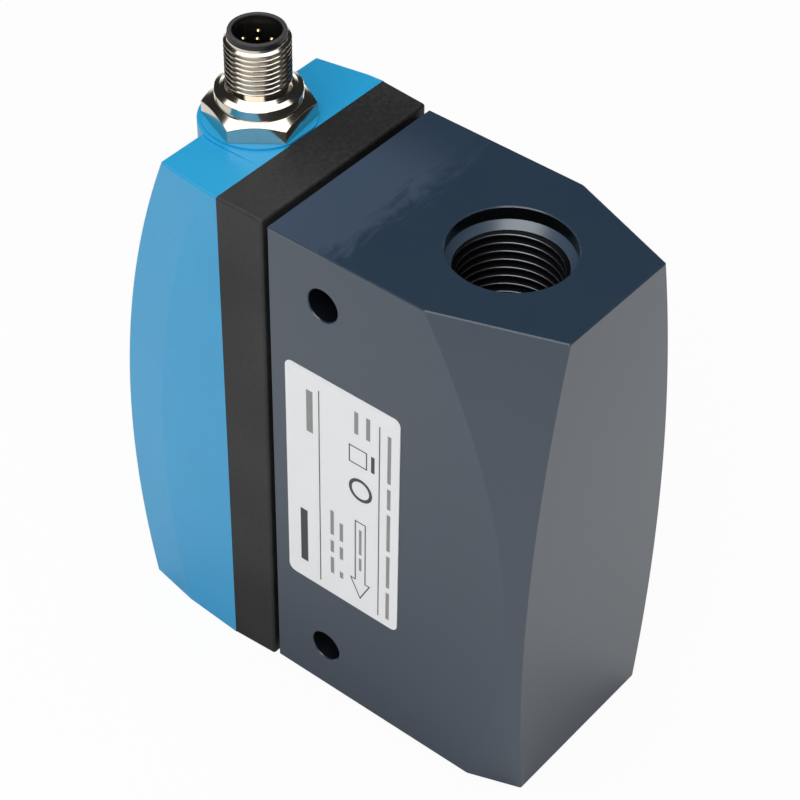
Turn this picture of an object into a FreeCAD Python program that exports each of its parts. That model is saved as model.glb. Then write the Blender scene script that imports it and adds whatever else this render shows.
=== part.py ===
"""Thermal flow meter for compressed air: measuring block, spacer frame, electronics cover and M12 plug.

The origin is on the flow axis, in the plane of the lower port face. +Z runs up the flow axis, +X runs from
the cover towards the free end of the block, and the label face looks along -Y. All sizes are millimetres.
"""
import FreeCAD, Part
import os
import re

import Sketcher

DIMENSIONS = {
    # measuring block
    "block_width": 44.0,
    "block_height": 108.0,
    "block_end": 22.0,
    "block_back": 35.3,
    "block_edge_break": 0.2,
    # curved corner cuts of the block: a barrel surface, widest at the belly
    "belly_height": 40.0,
    "barrel_drop": 6.87,
    "barrel_angle": 20.0,
    "barrel_inset": 1.1,
    # ports, a recess with a bevelled lead-in to a pipe thread
    "port_recess_radius": 11.4,
    "port_recess_depth": 2.7,
    "port_thread_radius": 10.48,
    "port_thread_length": 16.0,
    "channel_radius": 8.0,
    # holes for fastening the meter to a wall or bracket
    "mount_hole_radius": 3.3,
    "mount_hole_setback": 23.1,
    "mount_hole_inset": 11.0,
    # sticker on the label face
    "label_width": 26.2,
    "label_height": 53.2,
    "label_thickness": 0.15,
    "label_corner": 1.5,
    "label_setback": 18.7,
    # gasket between block and frame, set in from the edges
    "gasket_thickness": 1.0,
    "gasket_inset": 1.6,
    # spacer frame, a drafted tray
    "frame_depth": 10.0,
    "frame_wall": 3.0,
    "frame_floor": 3.0,
    "frame_rounding": 0.6,
    "rim_overhang_side": 0.6,
    "rim_overhang_end": 1.05,
    "draft_angle": 2.0,
    "seal_width": 1.4,
    "seal_depth": 1.2,
    "seal_setback": 0.8,
    # electronics cover, a drafted shell with an arched end
    "cover_depth": 27.7,
    "cover_wall": 3.0,
    "cover_top_depth": 14.3,
    "cover_bevel_length": 10.2,
    "cover_bevel_depth": 1.3,
    "cover_rounding": 0.4,
    "boss_radius": 11.2,
    "boss_length": 26.0,
    "seat_radius": 10.5,
    "seat_height": 0.4,
    "bush_wall": 2.3,
    "hook_width": 8.0,
    "hook_spacing": 44.0,
    "hook_reach": 5.4,
    "hook_thickness": 2.1,
    "hook_nose": 0.7,
    "hook_nose_length": 2.0,
    "hook_root": 6.0,
    "hook_room": 0.1,
    # M12 plug on top of the cover
    "plug_axis_offset": 10.0,
    "shell_spigot_radius": 7.0,
    "shell_spigot_length": 9.0,
    "shell_bore_radius": 4.95,
    "hexagon_across_flats": 18.0,
    "hexagon_height": 3.9,
    "hexagon_bevel_radius": 8.1,
    "hexagon_bevel_angle": 32.0,
    "hexagon_turn": 8.3,
    "collar_radius": 7.1,
    "collar_height": 1.9,
    "collar_bevel": 0.6,
    "neck_radius": 5.4,
    "neck_length": 1.4,
    "plug_thread_radius": 6.0,
    "plug_thread_length": 9.7,
    "plug_thread_bevel": 0.5,
    "ring_section": 1.4,
    "ring_room": 0.1,
    # insulating carrier and its pins
    "carrier_rim_radius": 5.3,
    "carrier_rim_height": 1.1,
    "carrier_cup_radius": 4.45,
    "carrier_cup_depth": 8.6,
    "carrier_floor": 12.0,
    "carrier_key_radius": 0.4,
    "carrier_key_turn": 225.0,
    "pin_radius": 0.5,
    "pin_circle_radius": 2.5,
    "pin_turn": -51.7,
    "pin_recess": 1.8,
    "pin_tail": 3.0,
    # sensor plug and probes
    "sensor_radius": 6.0,
    "sensor_end_gap": 0.6,
    "sensor_bore_setback": 2.0,
    "flange_radius": 13.0,
    "flange_thickness": 4.0,
    "flange_room": 1.0,
    "sensor_ring_setback": 6.0,
    "sensor_ring_section": 2.0,
    "sensor_ring_depth": 1.85,
    "probe_radius": 1.25,
    "probe_spacing": 5.2,
    "probe_past_axis": 3.0,
    "probe_lead_radius": 0.45,
    "probe_lead_spacing": 1.2,
    # screws: frame to block, sensor plug to block, board to frame
    "frame_screw_radius": 2.0,
    "frame_screw_head_radius": 3.5,
    "frame_screw_head_height": 4.0,
    "frame_screw_grip": 5.5,
    "frame_screw_wall_room": 0.6,
    "frame_screw_end_inset": 10.0,
    "flange_screw_radius": 1.5,
    "flange_screw_head_radius": 2.75,
    "flange_screw_head_height": 2.0,
    "flange_screw_grip": 6.0,
    "flange_screw_offset": 9.8,
    "board_screw_radius": 1.25,
    "board_screw_head_radius": 2.4,
    "board_screw_head_height": 1.8,
    "board_screw_grip": 6.0,
    "screw_hole_room": 0.25,
    "tapped_hole_extra": 1.5,
    # circuit board and its parts
    "board_thickness": 1.6,
    "board_side_room": 3.1,
    "board_top_drop": 18.0,
    "board_bottom_rise": 16.0,
    "board_standoff": 11.5,
    "board_hole_inset": 3.6,
    "standoff_radius": 3.0,
    "socket_width": 9.0,
    "socket_depth": 8.0,
    "socket_height": 6.0,
    "socket_drop": 1.0,
    "lead_radius": 0.6,
    "processor_side": 12.0,
    "processor_thickness": 1.5,
    "amplifier_width": 6.2,
    "amplifier_height": 8.6,
    "amplifier_thickness": 1.6,
    "capacitor_radius": 3.15,
    "capacitor_length": 7.7,
    "capacitor_spacing": 8.0,
    "coil_side": 7.0,
    "coil_thickness": 4.0,
    "coil_rounding": 1.2,
    # clearance of parts that slide or press together, and how far a cutting tool overruns
    "fit_room": 0.05,
    "cut_overrun": 1.0,
}

# Levels and places that follow from the sizes.
MID = "(block_height / 2)"
FRAME_FACE = "(-block_back - gasket_thickness)"
FLOOR_TOP = f"({FRAME_FACE} - frame_floor)"
SPLIT = f"({FRAME_FACE} - frame_depth)"
RIM_HALF = "(block_width / 2 + rim_overhang_side)"
RIM_TOP = "(block_height + rim_overhang_end)"
RIM_BOTTOM = "(-rim_overhang_end)"
BAY_HALF = f"({RIM_HALF} - frame_wall)"
HOOK_BACK = f"({RIM_HALF} - cover_wall + hook_nose)"
PLUG_X = f"({SPLIT} - plug_axis_offset)"
SEAT_TOP = f"({RIM_TOP} + seat_height)"
HEX_TOP = f"({SEAT_TOP} + hexagon_height)"
COLLAR_TOP = f"({HEX_TOP} + collar_height)"
THREAD_FOOT = f"({COLLAR_TOP} + neck_length)"
METAL_TOP = f"({THREAD_FOOT} + plug_thread_length)"
PLUG_TOP = f"({METAL_TOP} + carrier_rim_height)"
CUP_FLOOR = f"({PLUG_TOP} - carrier_cup_depth)"
CARRIER_FOOT = f"({CUP_FLOOR} - carrier_floor)"
PIN_TAIL_END = f"({CARRIER_FOOT} - pin_tail)"
BOARD_BACK = f"({FLOOR_TOP} - board_standoff)"
BOARD_FRONT = f"({BOARD_BACK} - board_thickness)"
BOARD_HALF = f"({BAY_HALF} - board_side_room)"
BOARD_TOP = "(block_height - board_top_drop)"
SOCKET_TOP = f"({BOARD_TOP} - socket_drop)"
FRAME_SCREW_Y = f"({BAY_HALF} - frame_screw_head_radius - frame_screw_wall_room)"
FRAME_SCREW_Z = "(block_height / 2 - frame_screw_end_inset)"
FLANGE_BACK = "(-block_back - flange_thickness)"
BARREL_RISE = "(block_height - belly_height)"
BARREL_RADIUS = f"(({BARREL_RISE} ^ 2 + barrel_drop ^ 2) / (2 * barrel_drop))"
ARCH_RISE = f"({RIM_TOP} - belly_height)"
ARCH_DROP = "(cover_depth - cover_top_depth)"
ARCH_RADIUS = f"(({ARCH_RISE} ^ 2 + {ARCH_DROP} ^ 2) / (2 * {ARCH_DROP}))"
PORT_LEAD_IN = "(port_recess_radius - port_thread_radius)"
PORT_THREAD_END = f"(port_recess_depth + {PORT_LEAD_IN} + port_thread_length)"

# Screw shanks, and where screws, probes and pins sit.
SHANK_LENGTHS = {
    "frame_screw": "(frame_floor + gasket_thickness + frame_screw_grip)",
    "flange_screw": "(flange_thickness + flange_screw_grip)",
    "board_screw": "(board_thickness + board_screw_grip)",
}
FRAME_SCREW_PLACES = [(f"({side} * {FRAME_SCREW_Y})", f"({MID} + {end} * {FRAME_SCREW_Z})")
                      for side in (-1, 1) for end in (-1, 1)]
FLANGE_SCREW_PLACES = [(f"({side} * flange_screw_offset)", MID) for side in (-1, 1)]
BOARD_SCREW_LEVELS = ["(board_bottom_rise + board_hole_inset)", f"({BOARD_TOP} - board_hole_inset)"]
BOARD_SCREW_PLACES = [(f"({side} * ({BOARD_HALF} - board_hole_inset))", level)
                      for side in (-1, 1) for level in BOARD_SCREW_LEVELS]
PROBE_LEVELS = {"heated_probe": f"({MID} - probe_spacing / 2)",
                "reference_probe": f"({MID} + probe_spacing / 2)"}
PIN_PLACES = [(PLUG_X, "0")] + [(f"({PLUG_X} + pin_circle_radius * cos(pin_turn + {angle}))",
                                 f"(pin_circle_radius * sin(pin_turn + {angle}))")
                                for angle in (0, 90, 180, 270)]

# Two places nearer than this are the same place.
TOUCHING = 1e-3

doc = FreeCAD.newDocument("flow_meter")
sheet = doc.addObject("Spreadsheet::Sheet", "Sizes")
nodes = []


def fill_sheet():
    """Write every driving size to the sheet, its name beside it."""
    for row, (name, value) in enumerate(DIMENSIONS.items(), start=1):
        sheet.set(f"A{row}", name)
        sheet.set(f"B{row}", str(value))
        sheet.setAlias(f"B{row}", name)
    doc.recompute()


def linked(text):
    """An expression with each size name pointed at the sheet."""
    return re.sub(r"\b[a-z]+(?:_[a-z]+)+\b", lambda match: "Sizes." + match.group(0), text)


def number(text):
    """The present value of an expression."""
    return float(sheet.evalExpression(linked(text)))


def bind(thing, **expressions):
    """Tie properties of an object to expressions of the sheet's sizes."""
    for name, text in expressions.items():
        thing.setExpression(name, linked(text))


def place(thing, x, y, z):
    """Tie an object's position to three expressions."""
    for axis, text in zip("xyz", (x, y, z)):
        thing.setExpression(f"Placement.Base.{axis}", linked(text))


def finish(thing, label):
    """Name an object as a piece of the meter."""
    thing.Label = label
    nodes.append(thing)
    return thing


def new_body(name):
    """An empty body."""
    return doc.addObject("PartDesign::Body", name)


def new_sketch(body, name, plane, x="0", y="0", lift="0", turn=None):
    """A sketch on an origin plane of its body, moved in the plane by x and y and off it by lift."""
    sketch = body.newObject("Sketcher::SketchObject", name)
    support = next(item for item in body.Origin.OriginFeatures if item.Role == plane)
    sketch.AttachmentSupport = [(support, "")]
    sketch.MapMode = "FlatFace"
    for axis, text in zip("xyz", (x, y, lift)):
        sketch.setExpression(f"AttachmentOffset.Base.{axis}", linked(text))
    if turn is not None:
        axis, angle = turn
        sketch.AttachmentOffset = FreeCAD.Placement(FreeCAD.Vector(), FreeCAD.Rotation(axis, number(angle)))
        sketch.setExpression("AttachmentOffset.Rotation.Angle", linked(angle))
    return sketch


def fix_point(sketch, geometry, position, x, y):
    """Tie one point of a sketch to two expressions, measured from the sketch's origin."""
    for kind, text in (("DistanceX", x), ("DistanceY", y)):
        index = sketch.addConstraint(Sketcher.Constraint(kind, -1, 1, geometry, position, number(text)))
        sketch.setExpression(f"Constraints[{index}]", linked(text))


def draw_outline(sketch, points):
    """Draw a closed outline through points whose coordinates are expressions."""
    first = sketch.GeometryCount
    corners = [FreeCAD.Vector(number(x), number(y), 0) for x, y in points]
    count = len(points)
    for index in range(count):
        sketch.addGeometry(Part.LineSegment(corners[index], corners[(index + 1) % count]))
    for index in range(count):
        following = first + (index + 1) % count
        sketch.addConstraint(Sketcher.Constraint("Coincident", first + index, 2, following, 1))
    for index, (x, y) in enumerate(points):
        fix_point(sketch, first + index, 1, x, y)


def draw_rectangle(sketch, left, bottom, right, top):
    """Draw a rectangle between two corners."""
    draw_outline(sketch, [(left, bottom), (right, bottom), (right, top), (left, top)])


def draw_circle(sketch, x, y, radius):
    """Draw a circle about a point."""
    middle = FreeCAD.Vector(number(x), number(y), 0)
    index = sketch.addGeometry(Part.Circle(middle, FreeCAD.Vector(0, 0, 1), number(radius)))
    fix_point(sketch, index, 3, x, y)
    constraint = sketch.addConstraint(Sketcher.Constraint("Radius", index, number(radius)))
    sketch.setExpression(f"Constraints[{constraint}]", linked(radius))


def pad(body, sketch, length, backwards=False, symmetric=False):
    """Add material from a sketch."""
    feature = body.newObject("PartDesign::Pad", sketch.Name + "_pad")
    feature.Profile = sketch
    feature.Reversed = backwards
    feature.SideType = "Symmetric" if symmetric else "One side"
    bind(feature, Length=length)
    doc.recompute()
    return feature


def cut(body, sketch, length=None, backwards=False):
    """Remove material from a sketch: to a depth, or right through both ways. It has to remove some."""
    before = body.Shape.Volume
    feature = body.newObject("PartDesign::Pocket", sketch.Name + "_pocket")
    feature.Profile = sketch
    feature.Reversed = backwards
    if length is None:
        feature.SideType = "Symmetric"
        feature.Type = "ThroughAll"
    else:
        bind(feature, Length=length)
    doc.recompute()
    if body.Shape.Volume >= before:
        raise RuntimeError(f"{feature.Name} cuts nothing")
    return feature


def drafted_block(body, name, far, depth, inset="0"):
    """A block as large as the rim in the split plane, leaning in on four sides towards its far end."""
    lean = f"({depth} * tan(draft_angle))"
    half = f"({RIM_HALF} - {inset})"
    bottom = f"({RIM_BOTTOM} + {inset})"
    top = f"({RIM_TOP} - {inset})"
    plan = new_sketch(body, f"{name}_plan", "XY_Plane", lift=bottom)
    far_half = f"({half} - {lean})"
    draw_outline(plan, [(SPLIT, f"-{half}"), (far, f"-{far_half}"), (far, far_half), (SPLIT, half)])
    pad(body, plan, f"{top} - {bottom}")
    ends = new_sketch(body, f"{name}_ends", "XZ_Plane")
    for level, sign in ((top, 1), (bottom, -1)):
        clear = f"{level} + {sign} * cut_overrun"
        far_level = f"{level} - {sign} * {lean}"
        draw_outline(ends, [(SPLIT, level), (SPLIT, clear), (far, clear), (far, far_level)])
    return cut(body, ends)


def turn_solid(body, sketch, axis, groove=False):
    """Revolve a sketch a full turn about one of its own axes, to add or to remove material."""
    before = body.Shape.Volume if groove else 0
    kind = "Groove" if groove else "Revolution"
    feature = body.newObject(f"PartDesign::{kind}", f"{sketch.Name}_{kind.lower()}")
    feature.Profile = sketch
    feature.ReferenceAxis = (sketch, [axis])
    feature.Angle = 360
    doc.recompute()
    if groove and body.Shape.Volume >= before:
        raise RuntimeError(f"{feature.Name} cuts nothing")
    return feature


def edges_where(shape, test):
    """Names of the edges that pass a test of the edge and its middle."""
    names = []
    for index, edge in enumerate(shape.Edges, start=1):
        middle = edge.valueAt((edge.FirstParameter + edge.LastParameter) / 2)
        if test(edge, middle):
            names.append(f"Edge{index}")
    return names


def is_line(edge):
    """Whether an edge is straight."""
    return edge.Curve.TypeId == "Part::GeomLine"


def along(edge, axis):
    """Whether a straight edge runs along an axis."""
    return is_line(edge) and abs(edge.Curve.Direction.dot(axis)) > 1 - TOUCHING


def soften(body, feature, kind, names, **sizes):
    """Round or bevel edges of a body's last feature."""
    dressing = body.newObject(f"PartDesign::{kind}", f"{feature.Name}_{kind.lower()}")
    dressing.Base = (feature, names)
    bind(dressing, **sizes)
    doc.recompute()
    return dressing


def cylinder(name, radius, length, x, y, z, axis="Z"):
    """A round bar that starts at a point and runs along +X or +Z."""
    bar = doc.addObject("Part::Cylinder", name)
    bind(bar, Radius=radius, Height=length)
    if axis == "X":
        bar.Placement.Rotation = FreeCAD.Rotation(FreeCAD.Vector(0, 1, 0), 90)
    place(bar, x, y, z)
    return bar


def box(name, x, y, z, length, width, height):
    """A block that starts at its lowest corner."""
    block = doc.addObject("Part::Box", name)
    bind(block, Length=length, Width=width, Height=height)
    place(block, x, y, z)
    return block


def joined(name, *pieces):
    """One solid made of several."""
    union = doc.addObject("Part::MultiFuse", name)
    union.Shapes = list(pieces)
    return union


def less(name, base, tool):
    """A solid with another taken away."""
    rest = doc.addObject("Part::Cut", name)
    rest.Base = base
    rest.Tool = tool
    return rest


def group(label, pieces):
    """Separate solids that share one node."""
    compound = doc.addObject("Part::Compound", label)
    compound.Links = pieces
    return finish(compound, label)


def screw(name, kind, x, y, z):
    """A screw along +X with its head's underside at x: a plain head on a plain shank."""
    head = cylinder(f"{name}_head", f"{kind}_head_radius", f"{kind}_head_height",
                    f"{x} - {kind}_head_height", y, z, "X")
    shank = cylinder(f"{name}_shank", f"{kind}_radius", SHANK_LENGTHS[kind], x, y, z, "X")
    return joined(name, head, shank)


def make_measuring_block():
    """The milled block: a bar with two barrel-shaped corner cuts, bored through between its ports."""
    body = new_body("block")
    plan = new_sketch(body, "block_plan", "XY_Plane")
    draw_rectangle(plan, "-block_back", "-block_width / 2", "block_end", "block_width / 2")
    pad(body, plan, "block_height")
    reach = "(block_end * sin(barrel_angle) + block_width / 2 * cos(barrel_angle) - barrel_inset)"
    for name, side in (("front_barrel", -1), ("rear_barrel", 1)):
        profile = new_sketch(body, name, "YZ_Plane",
                             turn=(FreeCAD.Vector(0, 1, 0), f"{-side} * barrel_angle"))
        middle = f"{side} * ({reach} - {BARREL_RADIUS})"
        draw_circle(profile, middle, "belly_height", BARREL_RADIUS)
        draw_circle(profile, middle, "belly_height", f"{BARREL_RADIUS} + block_width")
        cut(body, profile)
    passage = new_sketch(body, "passage", "XZ_Plane")
    below = [("0", "-cut_overrun"), ("port_recess_radius", "-cut_overrun"),
             ("port_recess_radius", "port_recess_depth"),
             ("port_thread_radius", f"port_recess_depth + {PORT_LEAD_IN}"),
             ("port_thread_radius", PORT_THREAD_END),
             ("channel_radius", f"{PORT_THREAD_END} + port_thread_radius - channel_radius")]
    above = [(radius, f"block_height - ({level})") for radius, level in reversed(below)]
    draw_outline(passage, below + above)
    turn_solid(body, passage, "V_Axis", groove=True)
    mounting = new_sketch(body, "mounting_holes", "XZ_Plane")
    for level in ("mount_hole_inset", "block_height - mount_hole_inset"):
        draw_circle(mounting, "-mount_hole_setback", level, "mount_hole_radius")
    milled = cut(body, mounting)
    outer_edges = edges_where(body.Shape, on_block_outside)
    soften(body, milled, "Chamfer", outer_edges, Size="block_edge_break")
    sensor_bore = new_sketch(body, "sensor_bore", "XZ_Plane", y=MID)
    draw_rectangle(sensor_bore, "-block_back - cut_overrun", "0", "-sensor_bore_setback",
                   "sensor_radius + fit_room")
    turn_solid(body, sensor_bore, "H_Axis", groove=True)
    tapped_holes = (("frame_screw", FRAME_SCREW_PLACES), ("flange_screw", FLANGE_SCREW_PLACES))
    for kind, places in tapped_holes:
        taps = new_sketch(body, f"{kind}_taps", "YZ_Plane", lift="-block_back")
        for y, z in places:
            draw_circle(taps, y, z, f"{kind}_radius + fit_room")
        cut(body, taps, f"{kind}_grip + tapped_hole_extra", backwards=True)
    finish(body, "measuring_block")


def on_block_outside(edge, middle):
    """Whether an edge bounds the block's outer faces, its port mouths or its mounting holes."""
    top = number("block_height")
    flank = number("block_width / 2")
    on_end = abs(middle.z) < TOUCHING or abs(middle.z - top) < TOUCHING
    on_flank = abs(abs(middle.y) - flank) < TOUCHING
    on_nose = abs(middle.x - number("block_end")) < TOUCHING
    return on_end or on_flank or on_nose


def make_rating_label():
    """The sticker on the label face, with rounded corners."""
    body = new_body("label")
    outline = new_sketch(body, "label_outline", "XZ_Plane", x="-label_setback", y=MID, lift="block_width / 2")
    draw_rectangle(outline, "-label_width / 2", "-label_height / 2", "label_width / 2", "label_height / 2")
    sheet_pad = pad(body, outline, "label_thickness")
    corners = edges_where(body.Shape, lambda edge, middle: along(edge, FreeCAD.Vector(0, 1, 0)))
    soften(body, sheet_pad, "Fillet", corners, Radius="label_corner")
    finish(body, "rating_label")


def make_frame_gasket():
    """The flat gasket behind the frame, with a window for the sensor flange and four screw holes."""
    body = new_body("gasket")
    outline = new_sketch(body, "gasket_outline", "YZ_Plane", lift="-block_back")
    half = "(block_width / 2 - gasket_inset)"
    draw_rectangle(outline, f"-{half}", "gasket_inset", half, "block_height - gasket_inset")
    draw_circle(outline, "0", MID, "flange_radius + flange_room")
    for y, z in FRAME_SCREW_PLACES:
        draw_circle(outline, y, z, "frame_screw_radius + screw_hole_room")
    pad(body, outline, "gasket_thickness", backwards=True)
    finish(body, "frame_gasket")


def make_spacer_frame():
    """The moulded tray between block and cover: walls, floor, seal groove, standoffs and hook recesses."""
    body = new_body("frame")
    tray = drafted_block(body, "frame", FRAME_FACE, "frame_depth")
    split = number(SPLIT)
    outer_edges = edges_where(body.Shape, lambda edge, middle: middle.x > split + TOUCHING)
    soften(body, tray, "Fillet", outer_edges, Radius="frame_rounding")
    bay = new_sketch(body, "frame_bay", "YZ_Plane", lift=SPLIT)
    draw_rectangle(bay, f"-{BAY_HALF}", f"{RIM_BOTTOM} + frame_wall", BAY_HALF, f"{RIM_TOP} - frame_wall")
    cut(body, bay, "frame_depth - frame_floor", backwards=True)
    groove = new_sketch(body, "seal_groove", "YZ_Plane", lift=SPLIT)
    for inset in ("seal_setback", "(seal_setback + seal_width)"):
        draw_rectangle(groove, f"-{RIM_HALF} + {inset}", f"{RIM_BOTTOM} + {inset}",
                       f"{RIM_HALF} - {inset}", f"{RIM_TOP} - {inset}")
    cut(body, groove, "seal_depth", backwards=True)
    standoffs = new_sketch(body, "standoffs", "YZ_Plane", lift=FLOOR_TOP)
    for y, z in BOARD_SCREW_PLACES:
        draw_circle(standoffs, y, z, "standoff_radius")
    pad(body, standoffs, "board_standoff", backwards=True)
    pilots = new_sketch(body, "standoff_pilots", "YZ_Plane", lift=BOARD_BACK)
    for y, z in BOARD_SCREW_PLACES:
        draw_circle(pilots, y, z, "board_screw_radius + fit_room")
    cut(body, pilots, "board_screw_grip + tapped_hole_extra", backwards=True)
    openings = new_sketch(body, "floor_openings", "YZ_Plane", lift=FLOOR_TOP)
    draw_circle(openings, "0", MID, "flange_radius + flange_room")
    for y, z in FRAME_SCREW_PLACES:
        draw_circle(openings, y, z, "frame_screw_radius + screw_hole_room")
    cut(body, openings, "frame_floor + cut_overrun", backwards=True)
    tip = f"{SPLIT} + hook_reach"
    for name, side in (("front_recesses", -1), ("rear_recesses", 1)):
        recess = new_sketch(body, name, "XZ_Plane", lift=f"{-side} * ({BAY_HALF} - hook_thickness)")
        for end in (-1, 1):
            level = f"{MID} + {end} * hook_spacing / 2"
            half = "(hook_width / 2 + hook_room)"
            draw_rectangle(recess, f"{tip} - hook_nose_length - hook_room", f"{level} - {half}",
                           f"{tip} + hook_room", f"{level} + {half}")
        cut(body, recess, "hook_thickness + hook_nose + hook_room", backwards=side < 0)
    finish(body, "spacer_frame")


def make_cover_seal():
    """The sealing ring that lies in the frame's rim groove."""
    body = new_body("rim_seal")
    outline = new_sketch(body, "rim_seal_outline", "YZ_Plane", lift=SPLIT)
    for inset in ("(seal_setback + fit_room)", "(seal_setback + seal_width - fit_room)"):
        draw_rectangle(outline, f"-{RIM_HALF} + {inset}", f"{RIM_BOTTOM} + {inset}",
                       f"{RIM_HALF} - {inset}", f"{RIM_TOP} - {inset}")
    pad(body, outline, "seal_depth")
    finish(body, "cover_seal")


def cover_form(name, inset, rounding=None):
    """The cover's drafted and arched form, set in all round: its outside, or the room inside it."""
    body = new_body(name)
    drafted_block(body, name, f"{SPLIT} - cover_depth - cut_overrun", "(cover_depth + cut_overrun)", inset)
    arch = new_sketch(body, f"{name}_arch", "XZ_Plane")
    middle = f"{SPLIT} - cover_depth + {ARCH_RADIUS}"
    draw_circle(arch, middle, "belly_height", f"{ARCH_RADIUS} - {inset}")
    draw_circle(arch, middle, "belly_height", f"{ARCH_RADIUS} + block_height")
    last = cut(body, arch)
    for side in (-1, 1):
        last = bevel_flank(body, last, side)
    if rounding is not None:
        split = number(SPLIT)
        outer_edges = edges_where(body.Shape, lambda edge, middle: middle.x < split - TOUCHING)
        soften(body, last, "Fillet", outer_edges, Radius=rounding)
    return body


def bevel_flank(body, feature, side):
    """Bevel the edge between the cover's arched end and one flank, with the long leg on the flank."""
    names = edges_where(body.Shape, lambda edge, middle: not is_line(edge) and side * middle.y > 0)
    arc = body.Shape.getElement(names[0])
    first = next(face for face in body.Shape.Faces if any(arc.isSame(edge) for edge in face.Edges))
    bevel = body.newObject("PartDesign::Chamfer", f"{feature.Name}_bevel")
    bevel.Base = (feature, names)
    bevel.ChamferType = "Two distances"
    bevel.FlipDirection = first.Surface.TypeId != "Part::GeomPlane"
    bind(bevel, Size="cover_bevel_length", Size2="cover_bevel_depth")
    doc.recompute()
    return bevel


def make_electronics_cover():
    """The moulded cover: shell, connector boss with its seat, threaded bush and four snap hooks."""
    outside = cover_form("cover_outside", "0", "cover_rounding")
    inside = cover_form("cover_inside", "cover_wall")
    column = cylinder("boss_column", "boss_radius", "boss_length", PLUG_X, "0", f"{RIM_TOP} - boss_length")
    apron = box("boss_apron", PLUG_X, "-boss_radius", f"{RIM_TOP} - cover_wall", "plug_axis_offset",
                "2 * boss_radius", "cover_wall")
    seat = cylinder("boss_seat", "seat_radius", "seat_height + cover_wall", PLUG_X, "0",
                    f"{RIM_TOP} - cover_wall")
    shell = less("cover_shell", joined("cover_solid", outside, column, apron, seat), inside)
    bush = cylinder("boss_bush", "shell_spigot_radius + bush_wall", "shell_spigot_length", PLUG_X, "0",
                    f"{SEAT_TOP} - shell_spigot_length")
    hooks = make_cover_hooks()
    whole = joined("cover_whole", shell, bush, hooks)
    bore = cylinder("boss_bore", "shell_spigot_radius + fit_room", "boss_length", PLUG_X, "0",
                    f"{SEAT_TOP} - shell_spigot_length - cut_overrun")
    ring_room = cylinder("boss_ring_room", "shell_spigot_radius + ring_section + 2 * ring_room",
                         "ring_section + cut_overrun", PLUG_X, "0", f"{SEAT_TOP} - ring_section")
    past_split = box("boss_past_split", SPLIT, "-boss_radius", f"{RIM_TOP} - boss_length", "boss_radius",
                     "2 * boss_radius", "boss_length + seat_height")
    cuts = joined("boss_cuts", bore, ring_room, past_split)
    finish(less("electronics_cover", whole, cuts), "electronics_cover")


def make_cover_hooks():
    """Four snap hooks inside the cover, two on each flank, with noses that catch in the frame's walls."""
    body = new_body("hooks")
    tip = f"({SPLIT} + hook_reach)"
    for side, flank in ((-1, "front"), (1, "rear")):
        for end, level in ((-1, "low"), (1, "high")):
            profile = new_sketch(body, f"hook_{flank}_{level}", "XY_Plane",
                                 lift=f"{MID} + {end} * hook_spacing / 2")
            offsets = [(f"{SPLIT} - hook_root", f"{BAY_HALF} - hook_thickness"),
                       (tip, f"{BAY_HALF} - hook_thickness"),
                       (tip, f"{BAY_HALF} - hook_thickness / 2"),
                       (f"{tip} - hook_nose_length / 2", f"{BAY_HALF} + hook_nose"),
                       (f"{tip} - hook_nose_length", f"{BAY_HALF} + hook_nose"),
                       (f"{tip} - hook_nose_length", f"{BAY_HALF} - hook_room"),
                       (SPLIT, f"{BAY_HALF} - hook_room"),
                       (SPLIT, HOOK_BACK),
                       (f"{SPLIT} - hook_root", HOOK_BACK)]
            draw_outline(profile, [(x, f"{side} * ({y})") for x, y in offsets])
            pad(body, profile, "hook_width", symmetric=True)
    return body


def make_connector_shell():
    """The turned shell of the plug: spigot, hexagon, collar, neck and thread cylinder, bored through."""
    body = new_body("shell")
    profile = new_sketch(body, "shell_profile", "XZ_Plane", x=PLUG_X)
    corner = "(hexagon_across_flats / sqrt(3))"
    bevel_drop = f"(({corner} - hexagon_bevel_radius) * tan(hexagon_bevel_angle))"
    foot = f"{SEAT_TOP} - shell_spigot_length"
    flare = "(plug_thread_radius - neck_radius)"
    draw_outline(profile, [
        ("shell_bore_radius", foot),
        ("shell_spigot_radius", foot),
        ("shell_spigot_radius", SEAT_TOP),
        (corner, SEAT_TOP),
        (corner, f"{HEX_TOP} - {bevel_drop}"),
        ("hexagon_bevel_radius", HEX_TOP),
        ("collar_radius", HEX_TOP),
        ("collar_radius", f"{COLLAR_TOP} - collar_bevel"),
        ("collar_radius - collar_bevel", COLLAR_TOP),
        ("neck_radius", COLLAR_TOP),
        ("neck_radius", f"{THREAD_FOOT} - {flare}"),
        ("plug_thread_radius", THREAD_FOOT),
        ("plug_thread_radius", f"{METAL_TOP} - plug_thread_bevel"),
        ("plug_thread_radius - plug_thread_bevel", METAL_TOP),
        ("shell_bore_radius", METAL_TOP),
    ])
    turn_solid(body, profile, "V_Axis")
    flats = new_sketch(body, "shell_hexagon", "XY_Plane", x=PLUG_X, lift=HEX_TOP,
                       turn=(FreeCAD.Vector(0, 0, 1), "hexagon_turn"))
    draw_outline(flats, [(f"{corner} * cos({30 + 60 * step})", f"{corner} * sin({30 + 60 * step})")
                         for step in range(6)])
    draw_circle(flats, "0", "0", f"{corner} + cut_overrun")
    cut(body, flats, "hexagon_height")
    finish(body, "connector_shell")


def make_connector_seal():
    """The flat ring under the hexagon."""
    foot = f"{SEAT_TOP} - ring_section"
    outside = cylinder("ring_outside", "shell_spigot_radius + ring_room + ring_section", "ring_section",
                       PLUG_X, "0", foot)
    inside = cylinder("ring_inside", "shell_spigot_radius + ring_room", "ring_section", PLUG_X, "0", foot)
    finish(less("connector_seal", outside, inside), "connector_seal")


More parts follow.
